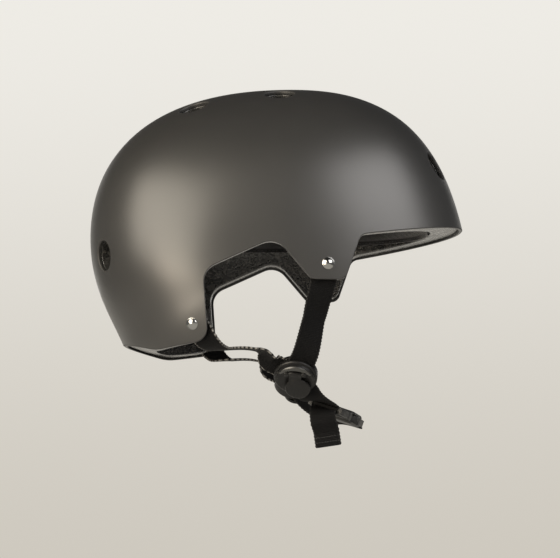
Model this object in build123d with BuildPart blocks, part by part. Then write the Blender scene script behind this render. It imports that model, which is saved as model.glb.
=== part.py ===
from build123d import *
import os
from math import copysign, cos, radians, sin, tan

os.makedirs("parts", exist_ok=True)

# Skateboard helmet, in millimetres, as it is worn: +X forward, +Y to the wearer's left, +Z up.
# The origin is inside the head cavity, on the centre plane, at the height of the brim's tip.

# Outer shell: reaches are measured from a cross axis that runs through both ear openings
half_width = 110.0
brim_reach = 165.0
nape_reach = 117.0
crown_rise = 147.6
under_drop = 112.0
axis_back = 25.0
axis_drop = 40.0
shell_wall = 3.0
fullness = 2.3
cut_overrun = 30.0

# Side profile of the shell, as shares of the reach and of the rise or drop on each side of the axis
profile_shares = [
    (-1.0, 0.2275), (-0.919, 0.551), (-0.679, 0.79), (-0.291, 0.942), (0.179, 1.0), (0.509, 0.9605),
    (0.736, 0.828), (0.9005, 0.5905), (1.0, 0.267), (1.036, 0.0), (0.97, -0.49), (0.64, -0.89),
    (0.15, -1.0), (-0.43, -0.86), (-0.709, -0.58), (-0.791, -0.4), (-0.914, -0.129), (-0.979, 0.066),
]
section_steps = 10
last_turn = 87.0

# Rim seen from the side: places ahead of the origin, drops below it, and corner radii
brim_tilt = 8.6
brim_root_forward = 59.5
brim_root_drop = 12.2
brim_root_radius = 7.0
tab_toe_drop = 45.2
tab_front_forward = 48.0
tab_front_radius = 7.0
tab_rear_forward = 23.5
tab_rear_radius = 7.0
ear_arch_back = 1.7
ear_arch_drop = 15.4
ear_arch_radius = 14.0
ear_back_back = 53.0
ear_back_drop = 38.5
ear_back_radius = 13.0
nape_corner_back = 49.5
nape_corner_drop = 88.0
nape_corner_radius = 10.0
nape_low_back = 88.0
nape_low_drop = 94.0
nape_low_radius = 28.0
nape_tilt = 13.6

# Vents: the direction of each from the cross axis, as degrees from forward in the side view,
# and degrees out to the side
vent_diameter = 22.0
vent_turns = [(31.1, 11.1), (79.5, 17.2), (106.4, 18.2), (171.1, 29.3)]
vent_dish_width = 2.6
vent_dish_depth = 1.2

# Liner and comfort pads
liner_gap = 0.3
liner_thickness = 20.0
liner_setback = 1.6
pad_gap = 0.1
pad_disc_thickness = 1.5
pad_disc_diameter = 20.0
pad_thickness = 8.0
pad_corner_radius = 8.0
brow_pad_back = 52.0
brow_pad_low = 3.0
brow_pad_high = 23.0
nape_pad_low = 80.0
nape_pad_high = 44.0
nape_pad_forward = 60.0
side_pad_back = 42.0
side_pad_forward = 40.0
side_pad_low = 7.0
side_pad_high = 24.0
crown_pad_forward = 6.0
crown_pad_length = 118.0
crown_pad_width = 38.0

# Rivets, each a domed head, a shank and a rolled tail, with a spacer and a washer round the shank
rivet_edge = 11.5
rivet_head_diameter = 8.8
rivet_head_height = 2.4
rivet_shank_diameter = 4.8
rivet_tail_diameter = 8.0
rivet_tail_height = 1.2
rivet_dome_shares = (0.57, 0.734)
rivet_clearance = 0.1
spacer_diameter = 12.0
spacer_thickness = 1.0
washer_diameter = 13.0
washer_thickness = 0.8
anchor_clearance = 0.5
anchor_top = 9.0
anchor_run = 9.0
pocket_clearance = 1.2

# Webbing
webbing_width = 19.0
webbing_thickness = 1.5
webbing_sections = 16
run_sections = 9
wrap_steps = 8
front_twist = (0.78, 0.58, -0.22)
rear_dip_back = 40.0
rear_dip_side = 79.0
rear_dip_drop = 92.5
rear_level_back = 14.0
rear_level_side = 80.0
rear_level_drop = 94.0
rear_twist = (0.1, -0.98, 0.12)

# Strap divider: its centre, the way that it faces, and the webbing's ways into it
divider_forward = 13.0
divider_side = 71.0
divider_drop = 111.2
divider_tilt = 46.0
divider_turn = 6.0
front_way = 18.0
rear_way = 64.0
chin_way = 28.0
divider_radius = 15.8
divider_base = 3.7
divider_top = 4.3
divider_edge = 1.4
layer_gap = 0.3
channel_clearance = 0.25
strap_inset = 3.0
chin_inset = 6.0
strap_reach = 19.0
lever_gap = 0.3
lever_disc_diameter = 18.6
lever_disc_back = 8.0
lever_disc_side = 2.0
lever_thickness = 2.8
lever_arm_width = 9.0
lever_hinge_up = 6.5
lever_barrel_radius = 2.0
lever_ear_thickness = 3.0
lever_ear_gap = 0.3
lever_nose_width = 7.4
lever_nose_thickness = 2.4
lever_nose_gap = 0.6
lever_pin_diameter = 2.0
lever_pin_clearance = 0.05
window_margin = 0.6
scoop_wall = 2.2
scoop_height = 2.6
scoop_start = 1.0
join_overlap = 0.5

# Side-release buckle: the housing's mouth, the way in, and how far its outer face tips back
buckle_forward = 43.0
buckle_side = 16.0
buckle_drop = 136.8
buckle_yaw = 17.0
buckle_pitch = 7.5
buckle_roll = 20.0
buckle_thickness = 9.4
buckle_wall = 1.8
buckle_edge = 1.2
housing_length = 26.0
housing_width = 28.0
housing_corner = 3.5
cavity_depth = 21.5
cavity_width = 25.0
window_depth = 18.0
bar_radius = 1.6
bar_clearance = 0.3
bar_span = 20.4
arm_width = 3.2
arm_thickness = 5.0
arm_overlap = 2.0
housing_bar = 31.0
tongue_bar = 26.0
tongue_base_start = 9.0
tongue_base_end = 0.6
tongue_base_thickness = 6.0
tongue_width = 27.0
tongue_guide_length = 17.0
tongue_guide_width = 4.4
tongue_guide_taper = 1.2
guide_clearance = 0.3
prong_thickness = 5.2
prong_hinge_back = 2.6
prong_hinge_side = 10.2
prong_knuckle_radius = 2.0
prong_clearance = 0.3
prong_length = 19.0
prong_width = 3.0
prong_inner_side = 8.9
prong_grip_start = 5.0
prong_grip_end = 16.5
prong_grip_side = 15.2
grip_rib_count = 5
grip_rib_depth = 0.5

# Loose end of the webbing, with its folded and sewn end, and the doubled end at the housing's bar
butt_gap = 0.3
tail_forward = 35.8
tail_side = 46.9
tail_drop = 154.1
tail_middle_forward = 33.2
tail_middle_side = 49.0
tail_middle_drop = 144.5
tail_turn = (0.985, -0.05, 0.15)
tail_way = (0.15, 0.05, -1.0)
tail_fold_length = 9.0
tail_fold_thickness = 4.4
tail_fold_overlap = 0.6
doubled_length = 13.0


def head_form(inset):
    # Closed form like the shell's outside, drawn in by inset
    with BuildPart() as form:
        for step in range(-section_steps, section_steps + 1):
            turn = radians(last_turn * step / section_steps)
            across = copysign(abs(sin(turn)) ** (2 / fullness), turn) * (half_width - inset)
            size = cos(turn) ** (2 / fullness)
            points = []
            for reach_share, rise_share in profile_shares:
                reach = brim_reach if reach_share > 0 else nape_reach
                rise = crown_rise if rise_share > 0 else under_drop
                forward = size * reach_share * (reach - inset) - axis_back
                up = size * rise_share * (rise - inset) - axis_drop
                points.append((forward, up))
            with BuildSketch(Plane.XZ.offset(across)):
                with BuildLine():
                    Spline(*points, periodic=True)
                make_face()
        loft()
    return form.part


def rim_outline(setback):
    # Side view of everything above the rim
    brim_slope = tan(radians(brim_tilt))
    nape_slope = tan(radians(nape_tilt))
    front_end = brim_reach + cut_overrun
    rear_end = -nape_reach - axis_back - cut_overrun
    top_end = crown_rise + cut_overrun
    corners = [
        (rear_end, (-rear_end - nape_low_back) * nape_slope - nape_low_drop),
        (-nape_low_back, -nape_low_drop),
        (-nape_corner_back, -nape_corner_drop),
        (-ear_back_back, -ear_back_drop),
        (-ear_arch_back, -ear_arch_drop),
        (tab_rear_forward, -tab_toe_drop),
        (tab_front_forward, -tab_toe_drop),
        (brim_root_forward, -brim_root_drop),
        (front_end, (front_end - brim_root_forward) * brim_slope - brim_root_drop),
    ]
    radii = [
        nape_low_radius, nape_corner_radius, ear_back_radius, ear_arch_radius,
        tab_rear_radius, tab_front_radius, brim_root_radius,
    ]
    with BuildSketch(Plane.XZ) as outline:
        with BuildLine():
            FilletPolyline(*corners, radius=radii)
            Polyline(corners[-1], (front_end, top_end), (rear_end, top_end), corners[0])
        make_face()
        if setback > 0:
            offset(amount=-setback)
    return outline.sketch


def surface_seat(form, place, towards):
    # Plane on the form where a line from the place leaves it, facing outwards
    start = Vector(*place)
    hits = []
    for face in form.faces():
        for point, normal in face.find_intersection_points(Axis(start, towards)):
            distance = (point - start).dot(Vector(*towards))
            hits.append((distance, point, normal))
    distance, point, normal = max(hits, key=lambda hit: hit[0])
    if normal.dot(Vector(*towards)) < 0:
        normal = -normal
    level = Vector(0, 0, 1).cross(normal)
    return Plane(origin=point, x_dir=level, z_dir=normal)


def layer(outer_inset, inner_inset):
    # Even layer between two forms
    with BuildPart() as skin:
        add(head_form(outer_inset))
        add(head_form(inner_inset), mode=Mode.SUBTRACT)
    return skin.part


def ribbon(stations, end_ways, runs, lead=()):
    # Webbing through stations, each a point and the way across the webbing there. It leaves the
    # first and reaches the last along end_ways, with flat runs before and after them. Lead holds
    # the sections that come before it all.
    points = [point for point, across in stations]
    route = Edge.make_spline(points, tangents=end_ways)
    shares = [route.param_at_point(point) for point in points]
    sections = []
    for step in range(webbing_sections + 1):
        share = step / webbing_sections
        index = 0
        while index < len(shares) - 2 and share > shares[index + 1]:
            index += 1
        part_way = (share - shares[index]) / (shares[index + 1] - shares[index])
        along = route.tangent_at(share)
        across = stations[index][1] * (1 - part_way) + stations[index + 1][1] * part_way
        across = across - along * across.dot(along)
        sections.append(Plane(origin=route.position_at(share), x_dir=across, z_dir=along))
    first_run = [-runs[0] * step / run_sections for step in range(run_sections, 0, -1)]
    last_run = [runs[1] * step / run_sections for step in range(1, run_sections + 1)]
    first, last = sections[0], sections[-1]
    if runs[0] > 0:
        sections = [first.offset(reach) for reach in first_run] + sections
    if runs[1] > 0:
        sections = sections + [last.offset(reach) for reach in last_run]
    sections = list(lead) + sections
    with BuildPart() as strip:
        for section in sections:
            with BuildSketch(section):
                Rectangle(webbing_width, webbing_thickness)
        loft()
    return strip.part


shell_form = head_form(0)
liner_inset = shell_wall + liner_gap
hollow_inset = liner_inset + liner_thickness
disc_inset = hollow_inset + pad_gap
pad_inset = disc_inset + pad_disc_thickness + pad_gap

# Vent places on the shell, right side then left
vent_seats = []
for turn, side_turn in vent_turns:
    for side in (-1, 1):
        towards = (
            cos(radians(turn)) * cos(radians(side_turn)),
            side * sin(radians(side_turn)),
            sin(radians(turn)) * cos(radians(side_turn)),
        )
        vent_seats.append(surface_seat(shell_form, (-axis_back, 0, -axis_drop), towards))

# Rivet places on the shell
tab_middle = (tab_front_forward + tab_rear_forward) / 2
front_height = rivet_edge - tab_toe_drop
rear_place = -nape_corner_back - rivet_edge
rear_height = rivet_edge - nape_corner_drop
front_right_seat = surface_seat(shell_form, (tab_middle, 0, front_height), (0, -1, 0))
front_left_seat = surface_seat(shell_form, (tab_middle, 0, front_height), (0, 1, 0))
rear_right_seat = surface_seat(shell_form, (rear_place, 0, rear_height), (0, -1, 0))
rear_left_seat = surface_seat(shell_form, (rear_place, 0, rear_height), (0, 1, 0))
rivet_seats = [front_right_seat, front_left_seat, rear_right_seat, rear_left_seat]

# Depths of the stack under each rivet's head, from the shell's outside
spacer_depth = shell_wall + anchor_clearance
webbing_depth = spacer_depth + spacer_thickness + rivet_clearance
washer_depth = webbing_depth + webbing_thickness + rivet_clearance
tail_depth = washer_depth + washer_thickness
pocket_depth = tail_depth + rivet_tail_height + pocket_clearance

# Outer shell with dished vents
vent_radius = vent_diameter / 2
vent_sag = vent_radius ** 2 / (2 * half_width)
dish_floor = vent_sag + vent_dish_depth
dish_flare = vent_radius + vent_dish_width / vent_dish_depth * (dish_floor + vent_dish_depth)
with BuildPart() as outer_shell:
    add(shell_form)
    add(head_form(shell_wall), mode=Mode.SUBTRACT)
    extrude(rim_outline(0), amount=half_width + cut_overrun, both=True, mode=Mode.INTERSECT)
    for seat in vent_seats:
        with BuildSketch(seat):
            Circle(vent_radius)
        extrude(amount=-shell_wall - cut_overrun / 2, mode=Mode.SUBTRACT)
        with BuildSketch(seat.offset(-dish_floor)):
            Circle(vent_radius)
        with BuildSketch(seat.offset(vent_dish_depth)):
            Circle(dish_flare)
        loft(mode=Mode.SUBTRACT)
    for seat in rivet_seats:
        with BuildSketch(seat):
            Circle(rivet_shank_diameter / 2 + rivet_clearance)
        extrude(amount=shell_wall + anchor_clearance, both=True, mode=Mode.SUBTRACT)
outer_shell.part.label = "outer_shell"
export_step(outer_shell.part, "parts/outer_shell.step")

# Strap divider's plane: x forward, y up the webbing, z out from the jaw
face_out = Vector(
    -sin(radians(divider_turn)),
    -cos(radians(divider_turn)) * cos(radians(divider_tilt)),
    -cos(radians(divider_turn)) * sin(radians(divider_tilt)),
)
up_webbing = Vector(0, -sin(radians(divider_tilt)), cos(radians(divider_tilt)))
divider = Plane(
    origin=(divider_forward, -divider_side, -divider_drop),
    x_dir=up_webbing.cross(face_out),
    z_dir=face_out,
)
layer_height = (webbing_thickness + layer_gap) / 2


def divider_mouth(turn, height):
    # Where webbing enters the divider at a turn to the left of straight up: a place, the way
    # across the webbing and the way in
    way = Vector(-sin(radians(turn)), cos(radians(turn)), 0)
    across = Vector(cos(radians(turn)), sin(radians(turn)), 0)
    if across.X < 0:
        across = -across
    place = divider.from_local_coords(way * strap_reach + Vector(0, 0, height))
    across = divider.x_dir * across.X + divider.y_dir * across.Y
    return place, across, -divider.x_dir * way.X - divider.y_dir * way.Y


def anchor_exit(seat, towards):
    # Where webbing ends its flat run under a rivet: a place, the way across the webbing and the
    # way out
    run = towards - seat.origin
    run = (run - seat.z_dir * run.dot(seat.z_dir)).normalized()
    across = run.cross(seat.z_dir)
    if across.X < 0:
        across = -across
    middle = seat.origin - seat.z_dir * (webbing_depth + webbing_thickness / 2)
    return middle + run * anchor_run, across, run


# Front webbing: from its rivet, down the cheek and into the divider
front_mouth, front_mouth_across, front_in = divider_mouth(-front_way, layer_height)
front_exit, front_exit_across, front_out = anchor_exit(front_right_seat, front_mouth)
front_middle = (front_exit + front_mouth) / 2
front_twist_across = Vector(*front_twist)
front_stations = [
    (front_exit, front_exit_across),
    (front_middle, front_twist_across),
    (front_mouth, front_mouth_across),
]
anchor_length = anchor_top + anchor_run
divider_length = strap_reach - strap_inset
with BuildPart() as front_webbing_right:
    add(ribbon(front_stations, [front_out, front_in], (anchor_length, divider_length)))
    with BuildSketch(front_right_seat):
        Circle(rivet_shank_diameter / 2 + rivet_clearance)
    extrude(amount=-pocket_depth, mode=Mode.SUBTRACT)
front_webbing_right.part.label = "front_webbing_right"
export_step(front_webbing_right.part, "parts/front_webbing_right.step")

# Rear webbing: from its rivet, edge on below the ear, and into the divider under the front webbing
rear_mouth, rear_mouth_across, rear_in = divider_mouth(rear_way, -layer_height)
rear_dip = Vector(-rear_dip_back, -rear_dip_side, -rear_dip_drop)
rear_level = Vector(-rear_level_back, -rear_level_side, -rear_level_drop)
rear_exit, rear_exit_across, rear_out = anchor_exit(rear_right_seat, rear_dip)
rear_twist_across = Vector(*rear_twist)
rear_stations = [
    (rear_exit, rear_exit_across),
    (rear_dip, rear_twist_across),
    (rear_level, rear_twist_across),
    (rear_mouth, rear_mouth_across),
]
with BuildPart() as rear_webbing_right:
    add(ribbon(rear_stations, [rear_out, rear_in], (anchor_length, divider_length)))
    with BuildSketch(rear_right_seat):
        Circle(rivet_shank_diameter / 2 + rivet_clearance)
    extrude(amount=-pocket_depth, mode=Mode.SUBTRACT)
rear_webbing_right.part.label = "rear_webbing_right"
export_step(rear_webbing_right.part, "parts/rear_webbing_right.step")

# Pockets in the liner's outside for the webbing and the rivets, on the right side
pocket_width = webbing_width + 2 * pocket_clearance
with BuildPart() as anchor_pockets:
    for seat, across in ((front_right_seat, front_exit_across), (rear_right_seat, rear_exit_across)):
        pocket = Plane(origin=seat.origin, x_dir=across, z_dir=seat.z_dir)
        with BuildSketch(pocket.offset(-pocket_depth)):
            with Locations((0, anchor_top + pocket_clearance)):
                Rectangle(pocket_width, anchor_top + cut_overrun, align=(Align.CENTER, Align.MAX))
        extrude(amount=pocket_depth + cut_overrun / 2)

# Foam liner, open at the vents
liner_outline_reach = half_width + cut_overrun
with BuildPart() as eps_liner:
    add(head_form(liner_inset))
    add(head_form(hollow_inset), mode=Mode.SUBTRACT)
    extrude(rim_outline(liner_setback), amount=liner_outline_reach, both=True, mode=Mode.INTERSECT)
    for seat in vent_seats:
        with BuildSketch(seat):
            Circle(vent_radius)
        extrude(amount=-hollow_inset - cut_overrun / 2, mode=Mode.SUBTRACT)
    add(anchor_pockets.part, mode=Mode.SUBTRACT)
    mirror(anchor_pockets.part, about=Plane.XZ, mode=Mode.SUBTRACT)
eps_liner.part.label = "eps_liner"
export_step(eps_liner.part, "parts/eps_liner.step")

# Comfort pads: rounded patches of one even layer inside the liner
pad_layer = layer(pad_inset, pad_inset + pad_thickness)
pad_reach = brim_reach + cut_overrun
with BuildPart() as brow_pad:
    add(pad_layer)
    with BuildSketch(Plane.XZ):
        with Locations((brow_pad_back, -brow_pad_low)):
            Rectangle(pad_reach, brow_pad_low + brow_pad_high, align=(Align.MIN, Align.MIN))
    extrude(amount=pad_reach, both=True, mode=Mode.INTERSECT)
brow_pad.part.label = "brow_pad"
export_step(brow_pad.part, "parts/brow_pad.step")

with BuildPart() as nape_pad:
    add(pad_layer)
    with BuildSketch(Plane.XZ):
        with Locations((-nape_pad_forward, -nape_pad_low)):
            Rectangle(pad_reach, nape_pad_low - nape_pad_high, align=(Align.MAX, Align.MIN))
    extrude(amount=pad_reach, both=True, mode=Mode.INTERSECT)
nape_pad.part.label = "nape_pad"
export_step(nape_pad.part, "parts/nape_pad.step")

with BuildPart() as crown_pad:
    add(pad_layer)
    with BuildSketch(Plane.XY):
        with Locations((crown_pad_forward, 0)):
            RectangleRounded(crown_pad_length, crown_pad_width, crown_pad_width / 2 - pad_gap)
    extrude(amount=pad_reach, mode=Mode.INTERSECT)
crown_pad.part.label = "crown_pad"
export_step(crown_pad.part, "parts/crown_pad.step")

side_pad_length = side_pad_back + side_pad_forward
side_pad_height = side_pad_low + side_pad_high
side_pad_middle = (side_pad_forward - side_pad_back) / 2
side_pad_level = (side_pad_high - side_pad_low) / 2
with BuildPart() as side_pad_right:
    add(pad_layer)
    with BuildSketch(Plane.XZ):
        with Locations((side_pad_middle, side_pad_level)):
            RectangleRounded(side_pad_length, side_pad_height, pad_corner_radius)
    extrude(amount=pad_reach, mode=Mode.INTERSECT)
side_pad_right.part.label = "side_pad_right"
export_step(side_pad_right.part, "parts/side_pad_right.step")

with BuildPart() as side_pad_left:
    mirror(side_pad_right.part, about=Plane.XZ)
side_pad_left.part.label = "side_pad_left"
export_step(side_pad_left.part, "parts/side_pad_left.step")

# Hook-and-loop discs that hold the pads to the liner
disc_radius = pad_disc_diameter / 2
disc_spread = crown_pad_length / 3
brow_level = (brow_pad_high - brow_pad_low) / 2
nape_level = -(nape_pad_low + nape_pad_high) / 2
with BuildPart() as pad_fastener_discs:
    with BuildSketch(Plane.YZ):
        with Locations((0, brow_level), (-disc_spread, brow_level), (disc_spread, brow_level)):
            Circle(disc_radius)
    extrude(amount=pad_reach)
    with BuildSketch(Plane.YZ):
        with Locations((-disc_spread, nape_level), (disc_spread, nape_level)):
            Circle(disc_radius)
    extrude(amount=-pad_reach)
    with BuildSketch(Plane.XY):
        with Locations((crown_pad_forward - disc_spread, 0), (crown_pad_forward + disc_spread, 0)):
            Circle(disc_radius)
    extrude(amount=pad_reach)
    with BuildSketch(Plane.XZ):
        for way in (-1, 1):
            with Locations((side_pad_middle + way * side_pad_length / 4, side_pad_level)):
                Circle(disc_radius)
    extrude(amount=pad_reach, both=True)
    add(head_form(disc_inset), mode=Mode.INTERSECT)
    add(head_form(disc_inset + pad_disc_thickness), mode=Mode.SUBTRACT)
pad_fastener_discs.part.label = "pad_fastener_discs"
export_step(pad_fastener_discs.part, "parts/pad_fastener_discs.step")

# Rivets: domed head, shank through the stack, and rolled tail
head_radius = rivet_head_diameter / 2
shank_radius = rivet_shank_diameter / 2
tail_radius = rivet_tail_diameter / 2
tail_end = tail_depth + rivet_tail_height
dome_side_share, dome_rise_share = rivet_dome_shares
dome_middle = (head_radius * dome_side_share, rivet_head_height * dome_rise_share)
with BuildPart() as strap_rivets:
    for seat in rivet_seats:
        with BuildSketch(Plane(origin=seat.origin, x_dir=seat.x_dir, z_dir=-seat.y_dir)):
            with BuildLine():
                ThreePointArc((0, rivet_head_height), dome_middle, (head_radius, 0))
                Polyline(
                    (head_radius, 0), (shank_radius, 0), (shank_radius, -tail_depth),
                    (tail_radius, -tail_depth), (shank_radius, -tail_end), (0, -tail_end),
                    (0, rivet_head_height),
                )
            make_face()
        revolve(axis=Axis(seat.origin, seat.z_dir))
strap_rivets.part.label = "strap_rivets"
export_step(strap_rivets.part, "parts/strap_rivets.step")

with BuildPart() as rivet_spacers:
    for seat in rivet_seats:
        with BuildSketch(seat.offset(-spacer_depth)):
            Circle(spacer_diameter / 2)
            Circle(shank_radius + rivet_clearance, mode=Mode.SUBTRACT)
        extrude(amount=-spacer_thickness)
rivet_spacers.part.label = "rivet_spacers"
export_step(rivet_spacers.part, "parts/rivet_spacers.step")

with BuildPart() as rivet_washers:
    for seat in rivet_seats:
        with BuildSketch(seat.offset(-washer_depth)):
            Circle(washer_diameter / 2)
            Circle(shank_radius + rivet_clearance, mode=Mode.SUBTRACT)
        extrude(amount=-washer_thickness + rivet_clearance / 2)
rivet_washers.part.label = "rivet_washers"
export_step(rivet_washers.part, "parts/rivet_washers.step")

with BuildPart() as front_webbing_left:
    mirror(front_webbing_right.part, about=Plane.XZ)
front_webbing_left.part.label = "front_webbing_left"
export_step(front_webbing_left.part, "parts/front_webbing_left.step")

with BuildPart() as rear_webbing_left:
    mirror(rear_webbing_right.part, about=Plane.XZ)
rear_webbing_left.part.label = "rear_webbing_left"
export_step(rear_webbing_left.part, "parts/rear_webbing_left.step")

# Strap divider: round housing with channels in two layers, a crescent wall and two hinge ears
divider_line = Axis(divider.origin, divider.z_dir)
channel_half = layer_height + webbing_thickness / 2 + channel_clearance
channel_width = webbing_width + 4 * channel_clearance
lever_axis = divider_top + lever_gap + lever_barrel_radius
hinge_middle = divider.from_local_coords(Vector(0, lever_hinge_up, 0))
hinge_side = Plane(origin=hinge_middle, x_dir=divider.y_dir, z_dir=divider.x_dir)
ear_inside = lever_arm_width / 2 + lever_ear_gap
scoop_radius = divider_radius - divider_edge
nose_end = channel_half + lever_nose_gap
window_reach = lever_axis - nose_end + lever_nose_thickness / 2 + window_margin
window_width = lever_nose_width + 2 * window_margin
with BuildPart() as divider_housing_right:
    with BuildSketch(divider.offset(-divider_base)):
        Circle(divider_radius)
    extrude(amount=divider_base + divider_top)
    fillet(divider_housing_right.edges().filter_by(GeomType.CIRCLE), radius=divider_edge)
    with BuildSketch(divider.offset(divider_top - join_overlap)):
        Circle(scoop_radius)
        Circle(scoop_radius - scoop_wall, mode=Mode.SUBTRACT)
        with Locations((0, scoop_start)):
            Rectangle(
                4 * divider_radius, 4 * divider_radius,
                align=(Align.CENTER, Align.MAX), mode=Mode.SUBTRACT,
            )
    extrude(amount=scoop_height + join_overlap)
    for side in (-1, 1):
        with BuildSketch(hinge_side.offset(side * (ear_inside + lever_ear_thickness / 2))):
            with Locations((0, divider_top - join_overlap)):
                Rectangle(
                    2 * lever_barrel_radius, lever_axis - divider_top + join_overlap,
                    align=(Align.CENTER, Align.MIN),
                )
            with Locations((0, lever_axis)):
                Circle(lever_barrel_radius)
        extrude(amount=lever_ear_thickness / 2, both=True)
    with BuildSketch(divider):
        for turn in (-front_way, chin_way - 180):
            Rectangle(
                channel_width, divider_radius + cut_overrun,
                rotation=turn, align=(Align.CENTER, Align.MIN),
            )
        Circle(channel_width / 2)
    extrude(amount=channel_half, mode=Mode.SUBTRACT)
    with BuildSketch(divider):
        Rectangle(
            channel_width, divider_radius + cut_overrun,
            rotation=rear_way, align=(Align.CENTER, Align.MIN),
        )
        Circle(channel_width / 2)
    extrude(amount=-channel_half, mode=Mode.SUBTRACT)
    with BuildSketch(divider):
        with Locations((0, lever_hinge_up + lever_nose_thickness / 2 + window_margin)):
            Rectangle(
                window_width, window_reach + lever_nose_thickness + window_margin,
                align=(Align.CENTER, Align.MAX),
            )
    extrude(amount=divider_top + cut_overrun, mode=Mode.SUBTRACT)
    with BuildSketch(hinge_side):
        with Locations((0, lever_axis)):
            Circle(lever_pin_diameter / 2 + lever_pin_clearance)
    extrude(amount=divider_radius, both=True, mode=Mode.SUBTRACT)
divider_housing_right.part.label = "divider_housing_right"
export_step(divider_housing_right.part, "parts/divider_housing_right.step")

# Lock lever: round end, arm, hinge barrel, and a nose that bears on the webbing
lever_disc_radius = lever_disc_diameter / 2
lever_floor = divider_top + lever_gap
with BuildPart() as divider_lever_right:
    with BuildSketch(divider.offset(lever_floor)):
        with Locations((lever_disc_side, -lever_disc_back)):
            Circle(lever_disc_radius)
    extrude(amount=lever_thickness)
    fillet(divider_lever_right.faces().sort_by(divider_line)[-1].edges(), radius=lever_thickness / 3)
    with BuildSketch(divider.offset(lever_floor)):
        with Locations((0, lever_hinge_up)):
            Rectangle(
                lever_arm_width, lever_hinge_up + lever_disc_back,
                align=(Align.CENTER, Align.MAX),
            )
    extrude(amount=lever_thickness - lever_gap)
    with BuildSketch(hinge_side):
        with Locations((0, lever_axis)):
            Circle(lever_barrel_radius)
    extrude(amount=lever_arm_width / 2, both=True)
    with BuildSketch(hinge_side):
        with Locations((0, nose_end)):
            Rectangle(
                lever_nose_thickness, lever_axis - nose_end,
                align=(Align.CENTER, Align.MIN),
            )
    extrude(amount=lever_nose_width / 2, both=True)
    with BuildSketch(hinge_side):
        with Locations((0, lever_axis)):
            Circle(lever_pin_diameter / 2 + lever_pin_clearance)
    extrude(amount=divider_radius, both=True, mode=Mode.SUBTRACT)
divider_lever_right.part.label = "divider_lever_right"
export_step(divider_lever_right.part, "parts/divider_lever_right.step")

with BuildPart() as divider_pins:
    with BuildSketch(hinge_side):
        with Locations((0, lever_axis)):
            Circle(lever_pin_diameter / 2)
    extrude(amount=ear_inside + lever_ear_thickness, both=True)
    mirror(about=Plane.XZ)
divider_pins.part.label = "divider_pins"
export_step(divider_pins.part, "parts/divider_pins.step")

with BuildPart() as divider_housing_left:
    mirror(divider_housing_right.part, about=Plane.XZ)
divider_housing_left.part.label = "divider_housing_left"
export_step(divider_housing_left.part, "parts/divider_housing_left.step")

with BuildPart() as divider_lever_left:
    mirror(divider_lever_right.part, about=Plane.XZ)
divider_lever_left.part.label = "divider_lever_left"
export_step(divider_lever_left.part, "parts/divider_lever_left.step")

# Buckle's plane: x the tongue's way in, y towards the front, z out from the jaw
way_in = Vector(
    sin(radians(buckle_yaw)) * cos(radians(buckle_pitch)),
    cos(radians(buckle_yaw)) * cos(radians(buckle_pitch)),
    -sin(radians(buckle_pitch)),
)
buckle_out = -Vector(cos(radians(buckle_roll)), 0, -sin(radians(buckle_roll))).cross(way_in)
buckle = Plane(
    origin=(buckle_forward, -buckle_side, -buckle_drop), x_dir=way_in, z_dir=buckle_out
)
buckle_side_view = Plane(origin=buckle.origin, x_dir=buckle.x_dir, z_dir=-buckle.y_dir)
buckle_line = Axis(buckle.origin, buckle.z_dir)
buckle_cross = Axis(buckle.origin, buckle.y_dir)
buckle_half = buckle_thickness / 2
cavity_half = buckle_half - buckle_wall
wrap_radius = bar_radius + bar_clearance + webbing_thickness / 2
arm_middle = (bar_span + arm_width) / 2
pocket_radius = prong_knuckle_radius + prong_clearance


def buckle_place(along, height):
    # Place on the buckle's middle line
    return buckle.from_local_coords(Vector(along, 0, height))


def wrap_sections(bar_place, way):
    # Webbing's sections round a bar, from the inner side to the outer, by the side that way names
    sections = []
    for step in range(wrap_steps):
        turn = radians(180 * (wrap_steps - step) / wrap_steps)
        place = buckle_place(
            bar_place + way * wrap_radius * sin(turn), wrap_radius * cos(turn)
        )
        along = buckle.z_dir * sin(turn) - buckle.x_dir * way * cos(turn)
        sections.append(Plane(origin=place, x_dir=buckle.y_dir, z_dir=along))
    return sections


# Housing: hollow body with open sides for the prongs, and a bar for the webbing
with BuildPart() as buckle_housing:
    with BuildSketch(buckle.offset(-buckle_half)):
        with Locations((housing_length / 2, 0)):
            RectangleRounded(housing_length, housing_width, housing_corner)
    extrude(amount=buckle_thickness)
    chamfer(buckle_housing.faces().sort_by(buckle_line)[-1].edges(), length=buckle_edge)
    chamfer(buckle_housing.faces().sort_by(buckle_line)[0].edges(), length=buckle_edge)
    with BuildSketch(buckle.offset(-cavity_half)):
        Rectangle(2 * cavity_depth, cavity_width)
        Rectangle(2 * window_depth, housing_width + cut_overrun)
    extrude(amount=2 * cavity_half, mode=Mode.SUBTRACT)
    with BuildSketch(buckle.offset(-arm_thickness / 2)):
        for side in (-1, 1):
            with Locations((housing_length - arm_overlap, side * arm_middle)):
                Rectangle(
                    housing_bar - housing_length + arm_overlap + arm_thickness / 2, arm_width,
                    align=(Align.MIN, Align.CENTER),
                )
    extrude(amount=arm_thickness)
    with BuildSketch(buckle_side_view):
        with Locations((housing_bar, 0)):
            Circle(bar_radius)
    extrude(amount=arm_middle, both=True)
buckle_housing.part.label = "buckle_housing"
export_step(buckle_housing.part, "parts/buckle_housing.step")

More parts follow.
